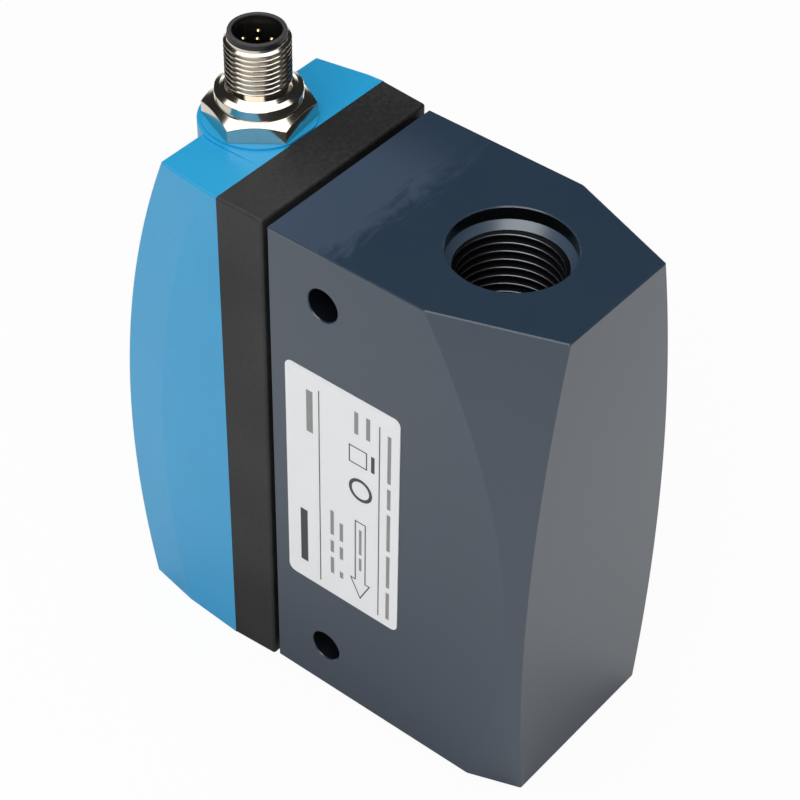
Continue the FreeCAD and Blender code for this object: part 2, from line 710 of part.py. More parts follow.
def make_contact_carrier():
    """The insulating insert: a cup with a rim over the metal, a coding key and a bored floor."""
    body = new_body("carrier")
    profile = new_sketch(body, "carrier_profile", "XZ_Plane", x=PLUG_X)
    skirt = "(shell_bore_radius - fit_room)"
    draw_outline(profile, [
        ("0", CARRIER_FOOT), (skirt, CARRIER_FOOT), (skirt, METAL_TOP), ("carrier_rim_radius", METAL_TOP),
        ("carrier_rim_radius", PLUG_TOP), ("carrier_cup_radius", PLUG_TOP), ("carrier_cup_radius", CUP_FLOOR),
        ("0", CUP_FLOOR)])
    turn_solid(body, profile, "V_Axis")
    key = new_sketch(body, "carrier_key", "XY_Plane", x=PLUG_X, lift=CUP_FLOOR)
    draw_circle(key, "carrier_cup_radius * cos(pin_turn + carrier_key_turn)",
                "carrier_cup_radius * sin(pin_turn + carrier_key_turn)", "carrier_key_radius")
    pad(body, key, "carrier_cup_depth - pin_recess / 2")
    holes = new_sketch(body, "carrier_holes", "XY_Plane", lift=CUP_FLOOR)
    for x, y in PIN_PLACES:
        draw_circle(holes, x, y, "pin_radius + fit_room")
    cut(body, holes, "carrier_floor + cut_overrun")
    finish(body, "contact_carrier")


def make_contact_pins():
    """Five pins with tapered tips."""
    pins = []
    shoulder = f"({PLUG_TOP} - pin_recess - pin_radius)"
    for index, (x, y) in enumerate(PIN_PLACES, start=1):
        bar = cylinder(f"pin_bar_{index}", "pin_radius", f"{shoulder} - {PIN_TAIL_END}", x, y, PIN_TAIL_END)
        tip = doc.addObject("Part::Cone", f"pin_tip_{index}")
        bind(tip, Radius1="pin_radius", Radius2="pin_radius / 2", Height="pin_radius")
        place(tip, x, y, shoulder)
        pins.append(joined(f"pin_{index}", bar, tip))
    group("contact_pins", pins)


def make_sensor_plug():
    """The turned plug: flange, stem with its sealing ring, two probe bores and two screw holes."""
    body = new_body("sensor")
    profile = new_sketch(body, "sensor_profile", "XZ_Plane", y=MID)
    ring_start = "(-block_back + sensor_ring_setback)"
    ring_end = f"({ring_start} + sensor_ring_section + 4 * fit_room)"
    ring_floor = "(sensor_radius - sensor_ring_depth)"
    nose = "(-channel_radius - sensor_end_gap)"
    draw_outline(profile, [
        (FLANGE_BACK, "0"), (FLANGE_BACK, "flange_radius"), ("-block_back", "flange_radius"),
        ("-block_back", "sensor_radius"), (ring_start, "sensor_radius"), (ring_start, ring_floor),
        (ring_end, ring_floor), (ring_end, "sensor_radius"), (nose, "sensor_radius"), (nose, "0")])
    turn_solid(body, profile, "H_Axis")
    bores = new_sketch(body, "probe_bores", "YZ_Plane")
    for level in PROBE_LEVELS.values():
        draw_circle(bores, "0", level, "probe_radius + fit_room")
    for y, z in FLANGE_SCREW_PLACES:
        draw_circle(bores, y, z, "flange_screw_radius + screw_hole_room")
    cut(body, bores)
    finish(body, "sensor_plug")
    seal_start = f"{ring_start} + 2 * fit_room"
    outside = cylinder("plug_seal_outside", "sensor_radius + fit_room", "sensor_ring_section",
                       seal_start, "0", MID, "X")
    inside = cylinder("plug_seal_inside", ring_floor, "sensor_ring_section", seal_start, "0", MID, "X")
    finish(less("plug_seal", outside, inside), "plug_seal")


def make_probes():
    """The heated and the reference probe, round-ended, and two leads from each to the board."""
    tip = "(probe_past_axis - probe_radius)"
    leads = []
    for name, level in PROBE_LEVELS.items():
        stem = cylinder(f"{name}_stem", "probe_radius", f"{tip} - {FLANGE_BACK}",
                        FLANGE_BACK, "0", level, "X")
        dome = doc.addObject("Part::Sphere", f"{name}_dome")
        bind(dome, Radius="probe_radius")
        place(dome, tip, "0", level)
        finish(joined(name, stem, dome), name)
        for side in (-1, 1):
            leads.append(cylinder(f"{name}_lead_{'left' if side < 0 else 'right'}", "probe_lead_radius",
                                  f"{FLANGE_BACK} - {BOARD_BACK}", BOARD_BACK,
                                  f"{side} * probe_lead_spacing / 2", level, "X"))
    group("probe_leads", leads)


def make_screws():
    """The screws of the frame, of the sensor flange and of the board, one node for each kind."""
    sets = {"frame_screws": ("frame_screw", FLOOR_TOP, FRAME_SCREW_PLACES),
            "plug_screws": ("flange_screw", FLANGE_BACK, FLANGE_SCREW_PLACES),
            "board_screws": ("board_screw", BOARD_FRONT, BOARD_SCREW_PLACES)}
    for label, (kind, seat, places) in sets.items():
        group(label, [screw(f"{kind}_{index}", kind, seat, y, z)
                      for index, (y, z) in enumerate(places, start=1)])


def make_main_board():
    """The circuit board with its four screw holes."""
    body = new_body("board")
    outline = new_sketch(body, "board_outline", "YZ_Plane", lift=BOARD_BACK)
    draw_rectangle(outline, f"-{BOARD_HALF}", "board_bottom_rise", BOARD_HALF, BOARD_TOP)
    for y, z in BOARD_SCREW_PLACES:
        draw_circle(outline, y, z, "board_screw_radius + screw_hole_room")
    pad(body, outline, "board_thickness", backwards=True)
    finish(body, "main_board")


def make_board_parts():
    """What is soldered to the board's front: socket, chips, capacitors and coil."""
    finish(box("lead_socket", f"{BOARD_FRONT} - socket_depth", "-socket_width / 2",
               f"{SOCKET_TOP} - socket_height", "socket_depth", "socket_width", "socket_height"),
           "lead_socket")
    finish(box("processor_chip", f"{BOARD_FRONT} - processor_thickness", "-processor_side / 2",
               f"{MID} - processor_side / 2", "processor_thickness", "processor_side", "processor_side"),
           "processor_chip")
    finish(box("amplifier_chip", f"{BOARD_FRONT} - amplifier_thickness", "-amplifier_width / 2",
               f"{MID} + processor_side", "amplifier_thickness", "amplifier_width", "amplifier_height"),
           "amplifier_chip")
    cans = []
    for index in (-1, 0, 1):
        cans.append(cylinder(f"capacitor_{index + 2}", "capacitor_radius", "capacitor_length",
                             f"{BOARD_FRONT} - capacitor_length", f"{index} * capacitor_spacing",
                             f"{MID} - processor_side - capacitor_radius", "X"))
    group("supply_capacitors", cans)
    coil = new_body("coil")
    outline = new_sketch(coil, "coil_outline", "YZ_Plane", y=f"{MID} - 2 * processor_side", lift=BOARD_FRONT)
    draw_rectangle(outline, "-coil_side / 2", "-coil_side", "coil_side / 2", "0")
    wound = pad(coil, outline, "coil_thickness", backwards=True)
    corners = edges_where(coil.Shape, lambda edge, middle: along(edge, FreeCAD.Vector(1, 0, 0)))
    soften(coil, wound, "Fillet", corners, Radius="coil_rounding")
    finish(coil, "supply_coil")


def make_connector_leads():
    """Five leads, straight down from the pins' tails into the socket."""
    leads = [cylinder(f"lead_{index}", "lead_radius", f"{PIN_TAIL_END} - {SOCKET_TOP}", x, y, SOCKET_TOP)
             for index, (x, y) in enumerate(PIN_PLACES, start=1)]
    group("connector_leads", leads)


def write_parts():
    """Check every object, then write each piece to its own file."""
    doc.recompute()
    failed = [item.Label for item in doc.Objects if {"Invalid", "Error"} & set(item.State)]
    unsound = [node.Label for node in nodes if node.Shape.isNull() or not node.Shape.isValid()]
    if failed or unsound:
        raise RuntimeError(f"failed objects {failed}, unsound shapes {unsound}")
    os.makedirs("parts", exist_ok=True)
    for node in nodes:
        node.Shape.exportStep(f"parts/{node.Label}.step")
        print(f"{node.Label}: {len(node.Shape.Solids)} solids, {node.Shape.Volume:.1f} mm3")


fill_sheet()
make_measuring_block()
make_rating_label()
make_frame_gasket()
make_spacer_frame()
make_cover_seal()
make_electronics_cover()
make_connector_shell()
make_connector_seal()
make_contact_carrier()
make_contact_pins()
make_sensor_plug()
make_probes()
make_screws()
make_main_board()
make_board_parts()
make_connector_leads()
write_parts()
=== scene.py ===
"""Looks of a compressed air flow meter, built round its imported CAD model.

All sizes and places in the classes are millimetres in the frame of the CAD model, and angles are degrees. The
origin is on the flow axis in the lower port face, +Z runs up the flow axis, and the label face looks
along -Y.
"""

import logging
import math
from dataclasses import dataclass, field
from enum import Enum
from typing import Any, Callable, Optional

import bmesh
import bpy
from mathutils import Matrix, Vector


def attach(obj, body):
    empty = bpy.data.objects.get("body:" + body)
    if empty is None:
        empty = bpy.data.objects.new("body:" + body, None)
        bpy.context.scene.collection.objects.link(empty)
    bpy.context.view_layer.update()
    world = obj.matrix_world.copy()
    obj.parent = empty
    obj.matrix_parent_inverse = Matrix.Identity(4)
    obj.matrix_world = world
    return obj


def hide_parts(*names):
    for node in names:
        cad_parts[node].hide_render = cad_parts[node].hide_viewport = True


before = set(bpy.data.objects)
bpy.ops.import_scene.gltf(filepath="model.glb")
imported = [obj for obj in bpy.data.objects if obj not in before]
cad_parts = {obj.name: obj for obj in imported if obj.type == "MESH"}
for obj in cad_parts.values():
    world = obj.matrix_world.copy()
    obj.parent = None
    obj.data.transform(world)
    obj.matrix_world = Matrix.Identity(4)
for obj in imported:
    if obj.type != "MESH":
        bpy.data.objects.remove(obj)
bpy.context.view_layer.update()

MM = 0.001
WAVE_RATE = 20.0  # Radians that Blender's wave texture runs through in one unit.
TURN_STEPS = 72  # Steps in one turn of a thread and of the tube under it.
MERGE = 0.001  # Points nearer to each other than this are one.
FLAT = 0.2  # Faces that meet at less than this angle are one flat.
LOG = logging.getLogger("flow_meter")
Socket = bpy.types.NodeSocket
Tree = bpy.types.ShaderNodeTree


class Slot(Enum):
    """Material slots of the record."""

    BLOCK = "anodised_block"
    LABEL = "label_film"
    RUBBER = "black_rubber"
    FRAME = "black_moulding"
    COVER = "blue_moulding"
    NICKEL = "nickel_plating"
    INSULATOR = "black_insulator"
    GOLD = "gold_contacts"
    STEEL = "stainless_steel"
    LEAD = "lead_insulation"
    BOARD = "board_laminate"
    SOCKET = "socket_moulding"
    CHIP = "chip_package"
    CAN = "capacitor_can"


def linear(code: str) -> tuple[float, float, float, float]:
    """Turn an sRGB hex colour into linear light.

    Args:
        code: The colour as "#rrggbb".

    Returns:
        Red, green, blue and a full alpha.
    """
    parts = [int(code[start:start + 2], 16) / 255 for start in (1, 3, 5)]
    red, green, blue = (p / 12.92 if p <= 0.04045 else ((p + 0.055) / 1.055) ** 2.4 for p in parts)
    return red, green, blue, 1.0


def per_metre(size: float) -> float:
    """The texture scale that gives features of a size in millimetres."""
    return 1 / (size * MM)


def add_node(tree: Tree, kind: str, inputs: Optional[dict] = None, **settings: Any) -> bpy.types.Node:
    """Add a shader node with its settings, values and links.

    Args:
        tree: The node tree it goes into.
        kind: The node's type without its prefix.
        inputs: Values or sockets for its inputs, by name or number.
        **settings: Properties of the node itself.

    Returns:
        The new node.
    """
    item = tree.nodes.new("ShaderNode" + kind)
    for name, value in settings.items():
        setattr(item, name, value)
    for name, value in (inputs or {}).items():
        if isinstance(value, Socket):
            tree.links.new(value, item.inputs[name])
        else:
            item.inputs[name].default_value = value
    return item


@dataclass(frozen=True)
class Finish:
    """A surface finish: what every finish has in common."""

    name: str
    colour: str
    second_colour: str
    roughness: tuple[float, float]
    ior: float = field(default=1.5, kw_only=True)

    def shader_values(self) -> dict[str, Any]:
        """Values that are the same all over the surface. Most finishes have no bare metal."""
        return {"Metallic": 0.0, "IOR": self.ior}

    def patterns(self, tree: Tree, place: Socket) -> tuple[Socket, Socket, Socket]:
        """Draw the finish's patterns.

        Args:
            tree: The material's node tree.
            place: Object coordinates.

        Returns:
            How far the colour goes to the second one, how far the roughness goes to its second value,
            and the surface's height in metres.
        """
        raise NotImplementedError

    def material(self) -> bpy.types.Material:
        """Make the material, once.

        Returns:
            The material of this finish.
        """
        known = bpy.data.materials.get(self.name)
        if known:
            return known
        made = bpy.data.materials.new(self.name)
        made.use_nodes = True
        tree = made.node_tree
        shader = tree.nodes["Principled BSDF"]
        for name, value in self.shader_values().items():
            shader.inputs[name].default_value = value
        place = add_node(tree, "TexCoord").outputs["Object"]
        tint, gloss, height = self.patterns(tree, place)
        # The mix node's inputs 6 and 7 are its two colours, and its output 2 is the mixed one.
        colour = add_node(tree, "Mix", {"Factor": tint, 6: linear(self.colour),
                                        7: linear(self.second_colour)}, data_type="RGBA")
        rough = add_node(tree, "MapRange", {"Value": gloss, "To Min": self.roughness[0],
                                            "To Max": self.roughness[1]})
        relief = add_node(tree, "Bump", {"Strength": 1.0, "Distance": 1.0, "Height": height})
        tree.links.new(colour.outputs[2], shader.inputs["Base Color"])
        tree.links.new(rough.outputs[0], shader.inputs["Roughness"])
        tree.links.new(relief.outputs[0], shader.inputs["Normal"])
        return made


@dataclass(frozen=True)
class AnodisedAluminium(Finish):
    """Milled aluminium, anodised and dyed: a dark, even colour under a clear, satin oxide skin."""

    ior: float = field(default=1.6, kw_only=True)
    cloud_size: float = 26.0
    cloud_share: float = 0.12
    tool_mark: float = 0.45
    tool_stretch: float = 0.06
    tool_depth: float = 0.00008
    tool_gloss: float = 0.6
    haze: float = 0.55
    wiped_level: tuple[float, float] = (107.4, 107.6)
    stroke_size: float = 5.0
    stroke_turn: float = 34.0
    stroke_stretch: float = 0.3
    stroke_reach: float = 26.0
    haze_edge: tuple[float, float] = (-6.0, -12.0)
    haze_fade: float = 20.0
    least_haze: float = 0.15

    def patterns(self, tree: Tree, place: Socket) -> tuple[Socket, Socket, Socket]:
        """Draw dye clouds, milling marks and the wiped haze on the upper face.

        Args:
            tree: The material's node tree.
            place: Object coordinates.

        Returns:
            Colour share, roughness share and height.
        """
        clouds = add_node(tree, "TexNoise", {"Vector": place, "Scale": per_metre(self.cloud_size),
                                             "Detail": 3.0})
        # The real tool marks are about 0.1 mm apart, drawn coarser so that they show.
        stretched = add_node(tree, "Mapping", {"Vector": place,
                                               "Scale": (self.tool_stretch, self.tool_stretch, 1.0)})
        marks = add_node(tree, "TexNoise", {"Vector": stretched.outputs[0],
                                            "Scale": per_metre(self.tool_mark), "Detail": 2.0})
        haze = self.wiped_haze(tree, place)
        soft = add_node(tree, "Math", {0: clouds.outputs["Fac"], 1: self.cloud_share}, operation="MULTIPLY")
        tint = add_node(tree, "Math", {0: haze, 1: self.haze, 2: soft.outputs[0]}, operation="MULTIPLY_ADD")
        gloss = add_node(tree, "Math", {0: marks.outputs["Fac"], 1: self.tool_gloss, 2: haze},
                         operation="MULTIPLY_ADD")
        height = add_node(tree, "Math", {0: marks.outputs["Fac"], 1: self.tool_depth * MM},
                          operation="MULTIPLY")
        return tint.outputs[0], gloss.outputs[0], height.outputs[0]

    def wiped_haze(self, tree: Tree, place: Socket) -> Socket:
        """Draw the streaked haze on the upper face, beside the frame and strongest near the label.

        Args:
            tree: The material's node tree.
            place: Object coordinates.

        Returns:
            The haze's share, which is 0 off the upper face.
        """
        parts = add_node(tree, "SeparateXYZ", {"Vector": place})
        below, above = self.wiped_level
        top = add_node(tree, "MapRange", {"Value": parts.outputs["Z"], "From Min": below * MM,
                                          "From Max": above * MM})
        turned = add_node(tree, "Mapping", {"Vector": place, "Scale": (1.0, self.stroke_stretch, 1.0),
                                            "Rotation": (0.0, 0.0, math.radians(self.stroke_turn))})
        strokes = add_node(tree, "TexNoise", {"Vector": turned.outputs[0],
                                              "Scale": per_metre(self.stroke_size), "Detail": 8.0,
                                              "Roughness": 0.7, "Distortion": 0.8})
        edge = add_node(tree, "Math", {0: strokes.outputs["Fac"], 1: self.stroke_reach * MM,
                                       2: parts.outputs["X"]}, operation="MULTIPLY_ADD")
        start, full = self.haze_edge
        near_frame = add_node(tree, "MapRange", {"Value": edge.outputs[0], "From Min": start * MM,
                                                 "From Max": full * MM}, interpolation_type="SMOOTHSTEP")
        near_label = add_node(tree, "MapRange", {"Value": parts.outputs["Y"], "From Max": 0.0,
                                                 "From Min": self.haze_fade * MM,
                                                 "To Min": self.least_haze},
                              interpolation_type="SMOOTHSTEP")
        on_top = add_node(tree, "Math", {0: top.outputs[0], 1: near_frame.outputs[0]}, operation="MULTIPLY")
        haze = add_node(tree, "Math", {0: on_top.outputs[0], 1: near_label.outputs[0]},
                        operation="MULTIPLY")
        return haze.outputs[0]


@dataclass(frozen=True)
class MouldedPlastic(Finish):
    """Injection-moulded plastic: a grained or smooth skin whose colour drifts a little along the flow."""

    grain: float
    grain_depth: float
    grain_share: float = 0.6
    drift_size: float = 40.0
    tint_range: tuple[float, float] = (0.6, 1.0)

    def patterns(self, tree: Tree, place: Socket) -> tuple[Socket, Socket, Socket]:
        """Draw the colour's drift and the grain.

        Args:
            tree: The material's node tree.
            place: Object coordinates.

        Returns:
            Colour share, roughness share and height.
        """
        drift = add_node(tree, "TexNoise", {"Vector": place, "Scale": per_metre(self.drift_size),
                                            "Detail": 2.0})
        # A moulding's grain is 0.05 to 0.1 mm, drawn coarser so that it shows.
        grain = add_node(tree, "TexNoise", {"Vector": place, "Scale": per_metre(self.grain), "Detail": 3.0,
                                            "Roughness": 0.6})
        tint = add_node(tree, "Math", {0: grain.outputs["Fac"], 1: self.grain_share,
                                       2: drift.outputs["Fac"]}, operation="MULTIPLY_ADD")
        low, high = self.tint_range
        share = add_node(tree, "MapRange", {"Value": tint.outputs[0], "From Min": low, "From Max": high})
        height = add_node(tree, "Math", {0: grain.outputs["Fac"], 1: self.grain_depth * MM},
                          operation="MULTIPLY")
        return share.outputs[0], grain.outputs["Fac"], height.outputs[0]


@dataclass(frozen=True)
class TurnedMetal(Finish):
    """Turned or drawn metal, bare or plated: bright, with fine rings and dull patches."""

    ring_offset: tuple[float, float, float]
    ring_turn: tuple[float, float, float] = (0.0, 0.0, 0.0)
    ring: float = 1.885
    ring_depth: float = 0.0002
    patch_size: float = 5.0

    def shader_values(self) -> dict[str, Any]:
        """All metal."""
        return {"Metallic": 1.0}

    def patterns(self, tree: Tree, place: Socket) -> tuple[Socket, Socket, Socket]:
        """Draw turning rings and handling patches.

        Args:
            tree: The material's node tree.
            place: Object coordinates.

        Returns:
            Colour share, roughness share and height.
        """
        turn = [math.radians(value) for value in self.ring_turn]
        offset = [-value * MM for value in self.ring_offset]
        centred = add_node(tree, "Mapping", {"Vector": place, "Location": offset, "Rotation": turn})
        # Tool rings are about 0.08 mm apart, drawn coarser so that they show.
        rate = 2 * math.pi * per_metre(self.ring) / WAVE_RATE
        rings = add_node(tree, "TexWave", {"Vector": centred.outputs[0], "Scale": rate, "Distortion": 0.4,
                                           "Detail": 2.0}, wave_type="RINGS", rings_direction="Z")
        patches = add_node(tree, "TexNoise", {"Vector": place, "Scale": per_metre(self.patch_size),
                                              "Detail": 4.0})
        height = add_node(tree, "Math", {0: rings.outputs["Fac"], 1: self.ring_depth * MM},
                          operation="MULTIPLY")
        return patches.outputs["Fac"], patches.outputs["Fac"], height.outputs[0]


@dataclass(frozen=True)
class PrintedFilm(Finish):
    """Polyester label film or ink on it: smooth and satin, with a faint paper-like cloud."""

    cloud_size: float = 6.0
    wave_size: float = 9.0
    wave_depth: float = 0.01

    def patterns(self, tree: Tree, place: Socket) -> tuple[Socket, Socket, Socket]:
        """Draw faint clouds and the film's slight waviness.

        Args:
            tree: The material's node tree.
            place: Object coordinates.

        Returns:
            Colour share, roughness share and height.
        """
        clouds = add_node(tree, "TexNoise", {"Vector": place, "Scale": per_metre(self.cloud_size),
                                             "Detail": 4.0})
        waves = add_node(tree, "TexNoise", {"Vector": place, "Scale": per_metre(self.wave_size),
                                            "Detail": 1.0})
        height = add_node(tree, "Math", {0: waves.outputs["Fac"], 1: self.wave_depth * MM},
                          operation="MULTIPLY")
        return clouds.outputs["Fac"], clouds.outputs["Fac"], height.outputs[0]


@dataclass(frozen=True)
class CircuitLaminate(Finish):
    """Green solder mask on a board: glossy, with lighter conductor tracks under it."""

    track_pitch: float = 2.4
    track_edge: tuple[float, float] = (0.16, 0.12)
    track_height: float = 0.03

    def patterns(self, tree: Tree, place: Socket) -> tuple[Socket, Socket, Socket]:
        """Draw the tracks as raised, lighter lines.

        Args:
            tree: The material's node tree.
            place: Object coordinates.

        Returns:
            Colour share, roughness share and height.
        """
        cells = add_node(tree, "TexVoronoi", {"Vector": place, "Scale": per_metre(self.track_pitch)},
                         feature="DISTANCE_TO_EDGE", distance="MANHATTAN")
        outer, inner = self.track_edge
        tracks = add_node(tree, "MapRange", {"Value": cells.outputs["Distance"], "From Min": outer,
                                             "From Max": inner})
        height = add_node(tree, "Math", {0: tracks.outputs[0], 1: self.track_height * MM},
                          operation="MULTIPLY")
        return tracks.outputs[0], tracks.outputs[0], height.outputs[0]


PLUG_AXIS = (-56.3, 0.0, 0.0)
ALONG_X = (0.0, 90.0, 0.0)

# Dyed oxide on milled flats: a dark slate colour with a soft sheen, paler where the haze lies.
ANODISED = AnodisedAluminium("anodised_aluminium", "#203345", "#42536a", (0.26, 0.36), ior=1.7)
# The same skin in the turned recess and bores, with painted shade: drawn nearly black, with a sharper gleam.
BORE_PAINTED_SHADE = AnodisedAluminium("anodised_aluminium_bore_painted_shade", "#07090c", "#0d1116", (0.16, 0.26), haze=0.0)
# Painted shade on the tapped flanks, which lie in one another's shade: the thread's roots are drawn black and
# dull.
FLANK_PAINTED_SHADE = AnodisedAluminium("anodised_aluminium_tapped_painted_shade", "#020203", "#050506", (0.5, 0.65), ior=1.2,
                           haze=0.0)
# Crests burnished by the tap: thin pale lines of bare metal.
CREST = TurnedMetal("burnished_aluminium_crest", "#7c7f86", "#70737a", (0.26, 0.36), (0.0, 0.0, 0.0))
# The bevel into the thread, with a painted highlight: drawn paler than the block's skin, with a strong
# reflection.
LEAD_IN_PAINTED_HIGHLIGHT = AnodisedAluminium("anodised_aluminium_lead_in_painted_highlight", "#3a4b5e", "#46576b", (0.3, 0.4), ior=1.92,
                            haze=0.0)
# Drilled walls with painted shade: dark and satin, so the holes read as deep.
HOLE_PAINTED_SHADE = AnodisedAluminium("anodised_aluminium_hole_painted_shade", "#0b0f15", "#11161d", (0.3, 0.4), haze=0.0)
# Broken edges with a thin, polished skin and a painted highlight: a fine paler line round each end face.
WORN_EDGE_AND_HIGHLIGHT = AnodisedAluminium("anodised_aluminium_worn_edge_and_highlight", "#344150", "#475564", (0.2, 0.3), haze=0.0)
# A spark-eroded mould leaves dull black grain that breaks the light into specks.
BLACK_MOULDING = MouldedPlastic("spark_grained_polyamide", "#0d0d0d", "#2f2f2f", (0.5, 0.7), 0.9, 0.05)
# A polished mould leaves a smooth skin: a full, even blue with a broad satin sheen.
BLUE_MOULDING = MouldedPlastic("smooth_blue_polycarbonate", "#1d9ed5", "#28a5da", (0.36, 0.44), 1.4, 0.003,
                               ior=1.58)
# Glass fibre at the surface dulls the black a little.
INSULATOR = MouldedPlastic("black_glass_filled_nylon", "#0c0c0c", "#151516", (0.3, 0.42), 0.5, 0.004)
# The same nylon on the rim, with painted light: a matte rim drawn greyer than the cup.
RIM_PAINTED_LIGHT = MouldedPlastic("black_nylon_rim_painted_light", "#38383a", "#424244", (0.55, 0.7), 0.5, 0.004)
# Moulded rubber swallows the light: black and matte.
RUBBER = MouldedPlastic("nitrile_rubber", "#090909", "#121213", (0.75, 0.9), 0.6, 0.01)
# Bright plating: a warm mirror with faint turning rings.
NICKEL = TurnedMetal("nickel_plated_brass", "#d6cfc4", "#c6beb2", (0.08, 0.17), PLUG_AXIS)
# Gold on turned brass: small yellow mirrors.
GOLD = TurnedMetal("gold_plated_brass", "#ecd9a6", "#e0c88c", (0.08, 0.16), PLUG_AXIS)
# Bare turned steel: grey with a blurred shine.
STEEL = TurnedMetal("turned_stainless_steel", "#b9b8b4", "#a5a4a0", (0.22, 0.36), (0.0, 0.0, 54.0), ALONG_X)
# Drawn aluminium: pale grey with a softer shine than steel.
CAN = TurnedMetal("drawn_aluminium_can", "#c4c6c8", "#b0b2b5", (0.25, 0.4), (0.0, 0.0, 38.9), ALONG_X)
# Coated film: an even white with a satin sheen.
FILM = PrintedFilm("white_polyester_film", "#f2f3f5", "#f6f7f8", (0.34, 0.44))
# Printed ink: a soft black, duller than the film round it.
INK = PrintedFilm("black_label_ink", "#3a3838", "#444141", (0.45, 0.55))
# The same ink screened to grey.
FAINT_INK = PrintedFilm("grey_label_ink", "#8d8c8d", "#989798", (0.45, 0.55))
# Extruded vinyl: a strong red with a gentle shine.
LEAD = MouldedPlastic("soft_red_vinyl", "#8e1f1a", "#9c2a22", (0.4, 0.5), 0.8, 0.004)
# Unfilled nylon: cream and a little waxy.
SOCKET = MouldedPlastic("cream_nylon", "#d9d4c2", "#e2ddcc", (0.4, 0.5), 0.8, 0.004)
# Moulded epoxy: charcoal and matte.
CHIP = MouldedPlastic("black_epoxy_moulding", "#181819", "#222223", (0.55, 0.7), 0.3, 0.006)
# Lacquer over copper: deep green gloss with lighter tracks.
BOARD = CircuitLaminate("green_solder_mask", "#0b4a2b", "#17683d", (0.28, 0.36))


def report(piece: bpy.types.Object) -> None:
    """Say that a piece is ready."""
    LOG.info("%s: %d faces", piece.name, len(piece.data.polygons))


def make_piece(shape: bmesh.types.BMesh, name: str, finishes: list[Finish],
               stands_for: tuple[str, ...] = ()) -> bpy.types.Object:
    """Turn a shape in millimetres into a finished piece of the meter.

    Args:
        shape: The modelled shape, which is freed.
        name: The piece's name.
        finishes: Its finishes, in the order of the faces' material numbers.
        stands_for: CAD nodes that it replaces.

    Returns:
        The piece, riding on the meter's one body.
    """
    bmesh.ops.scale(shape, vec=(MM, MM, MM), verts=shape.verts)
    mesh = bpy.data.meshes.new(name)
    shape.to_mesh(mesh)
    shape.free()
    piece = bpy.data.objects.new(name, mesh)
    bpy.context.scene.collection.objects.link(piece)
    for finish in finishes:
        mesh.materials.append(finish.material())
    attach(piece, "root")
    if stands_for:
        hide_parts(*stands_for)
    return piece


def node_shape(node: str) -> bmesh.types.BMesh:
    """Copy a CAD node's mesh as one closed shape with flat faces joined up.

    Args:
        node: The node's name.

    Returns:
        The shape in millimetres.
    """
    shape = bmesh.new()
    shape.from_mesh(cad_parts[node].data)
    for layer in list(shape.loops.layers.float_vector.values()):
        shape.loops.layers.float_vector.remove(layer)
    bmesh.ops.scale(shape, vec=(1 / MM, 1 / MM, 1 / MM), verts=shape.verts)
    bmesh.ops.remove_doubles(shape, verts=shape.verts, dist=MERGE)
    bmesh.ops.dissolve_limit(shape, angle_limit=math.radians(FLAT), verts=shape.verts, edges=shape.edges)
    return shape


def shade(shape: bmesh.types.BMesh, crease: float) -> None:
    """Shade a shape smoothly, except over edges sharper than an angle.

    Args:
        shape: The shape.
        crease: The angle.
    """
    for face in shape.faces:
        face.smooth = True
    limit = math.radians(crease)
    for edge in shape.edges:
        edge.smooth = len(edge.link_faces) == 2 and edge.calc_face_angle(math.pi) < limit


def keep_flats_flat(piece: bpy.types.Object) -> None:
    """Let large faces rule the shading, so that flats stay flat beside small bevels."""
    modifier = piece.modifiers.new("flat_faces", "WEIGHTED_NORMAL")
    modifier.mode = "FACE_AREA"
    modifier.weight = 100
    modifier.keep_sharp = True


def spun(profile: list[tuple[float, float]], steps: int) -> bmesh.types.BMesh:
    """Turn a profile once round the Z axis.

    Args:
        profile: Radius and height of each point, from one end on the axis or round a closed section.
        steps: How many steps make the turn.

    Returns:
        The closed shape.
    """
    shape = bmesh.new()
    points = [shape.verts.new((radius, 0.0, height)) for radius, height in profile]
    closed = profile[0][0] > 0
    ends = points[1:] + points[:1] if closed else points[1:]
    edges = [shape.edges.new(pair) for pair in zip(points, ends)]
    bmesh.ops.spin(shape, geom=points + edges, cent=(0, 0, 0), axis=(0, 0, 1), dvec=(0, 0, 0),
                   angle=2 * math.pi, steps=steps, use_merge=True)
    bmesh.ops.remove_doubles(shape, verts=shape.verts, dist=MERGE)
    bmesh.ops.recalc_face_normals(shape, faces=shape.faces)
    return shape


def screw_ridge(section: list[tuple[float, float]], pitch: float, turns: float,
                start: float) -> bmesh.types.BMesh:
    """Sweep a section up a right-handed screw line.

    Args:
        section: Radius and height of each corner of the ridge's section.
        pitch: Rise in one turn.
        turns: Number of turns.
        start: Angle of the lower end.

    Returns:
        The ridge, closed at both ends.
    """
    shape = bmesh.new()
    points = [shape.verts.new((radius, 0.0, height)) for radius, height in section]
    edges = [shape.edges.new(pair) for pair in zip(points, points[1:] + points[:1])]
    to_start = Matrix.Rotation(math.radians(start), 3, "Z")
    bmesh.ops.rotate(shape, verts=points, cent=(0, 0, 0), matrix=to_start)
    count = round(TURN_STEPS * turns)
    bmesh.ops.spin(shape, geom=points + edges, cent=(0, 0, 0), axis=(0, 0, 1),
                   dvec=(0, 0, pitch / TURN_STEPS), angle=2 * math.pi * count / TURN_STEPS, steps=count)
    bmesh.ops.holes_fill(shape, edges=[edge for edge in shape.edges if edge.is_boundary], sides=0)
    bmesh.ops.recalc_face_normals(shape, faces=shape.faces)
    return shape


def set_radii(shape: bmesh.types.BMesh, rule: Callable[[Vector, float], float]) -> None:
    """Move a shape's points in or out from the Z axis.

    Args:
        shape: The shape.
        rule: Gives a point's new radius from its place and its radius.
    """
    for point in shape.verts:
        radius = math.hypot(point.co.x, point.co.y)
        if radius:
            share = rule(point.co, radius) / radius
            point.co.x *= share
            point.co.y *= share


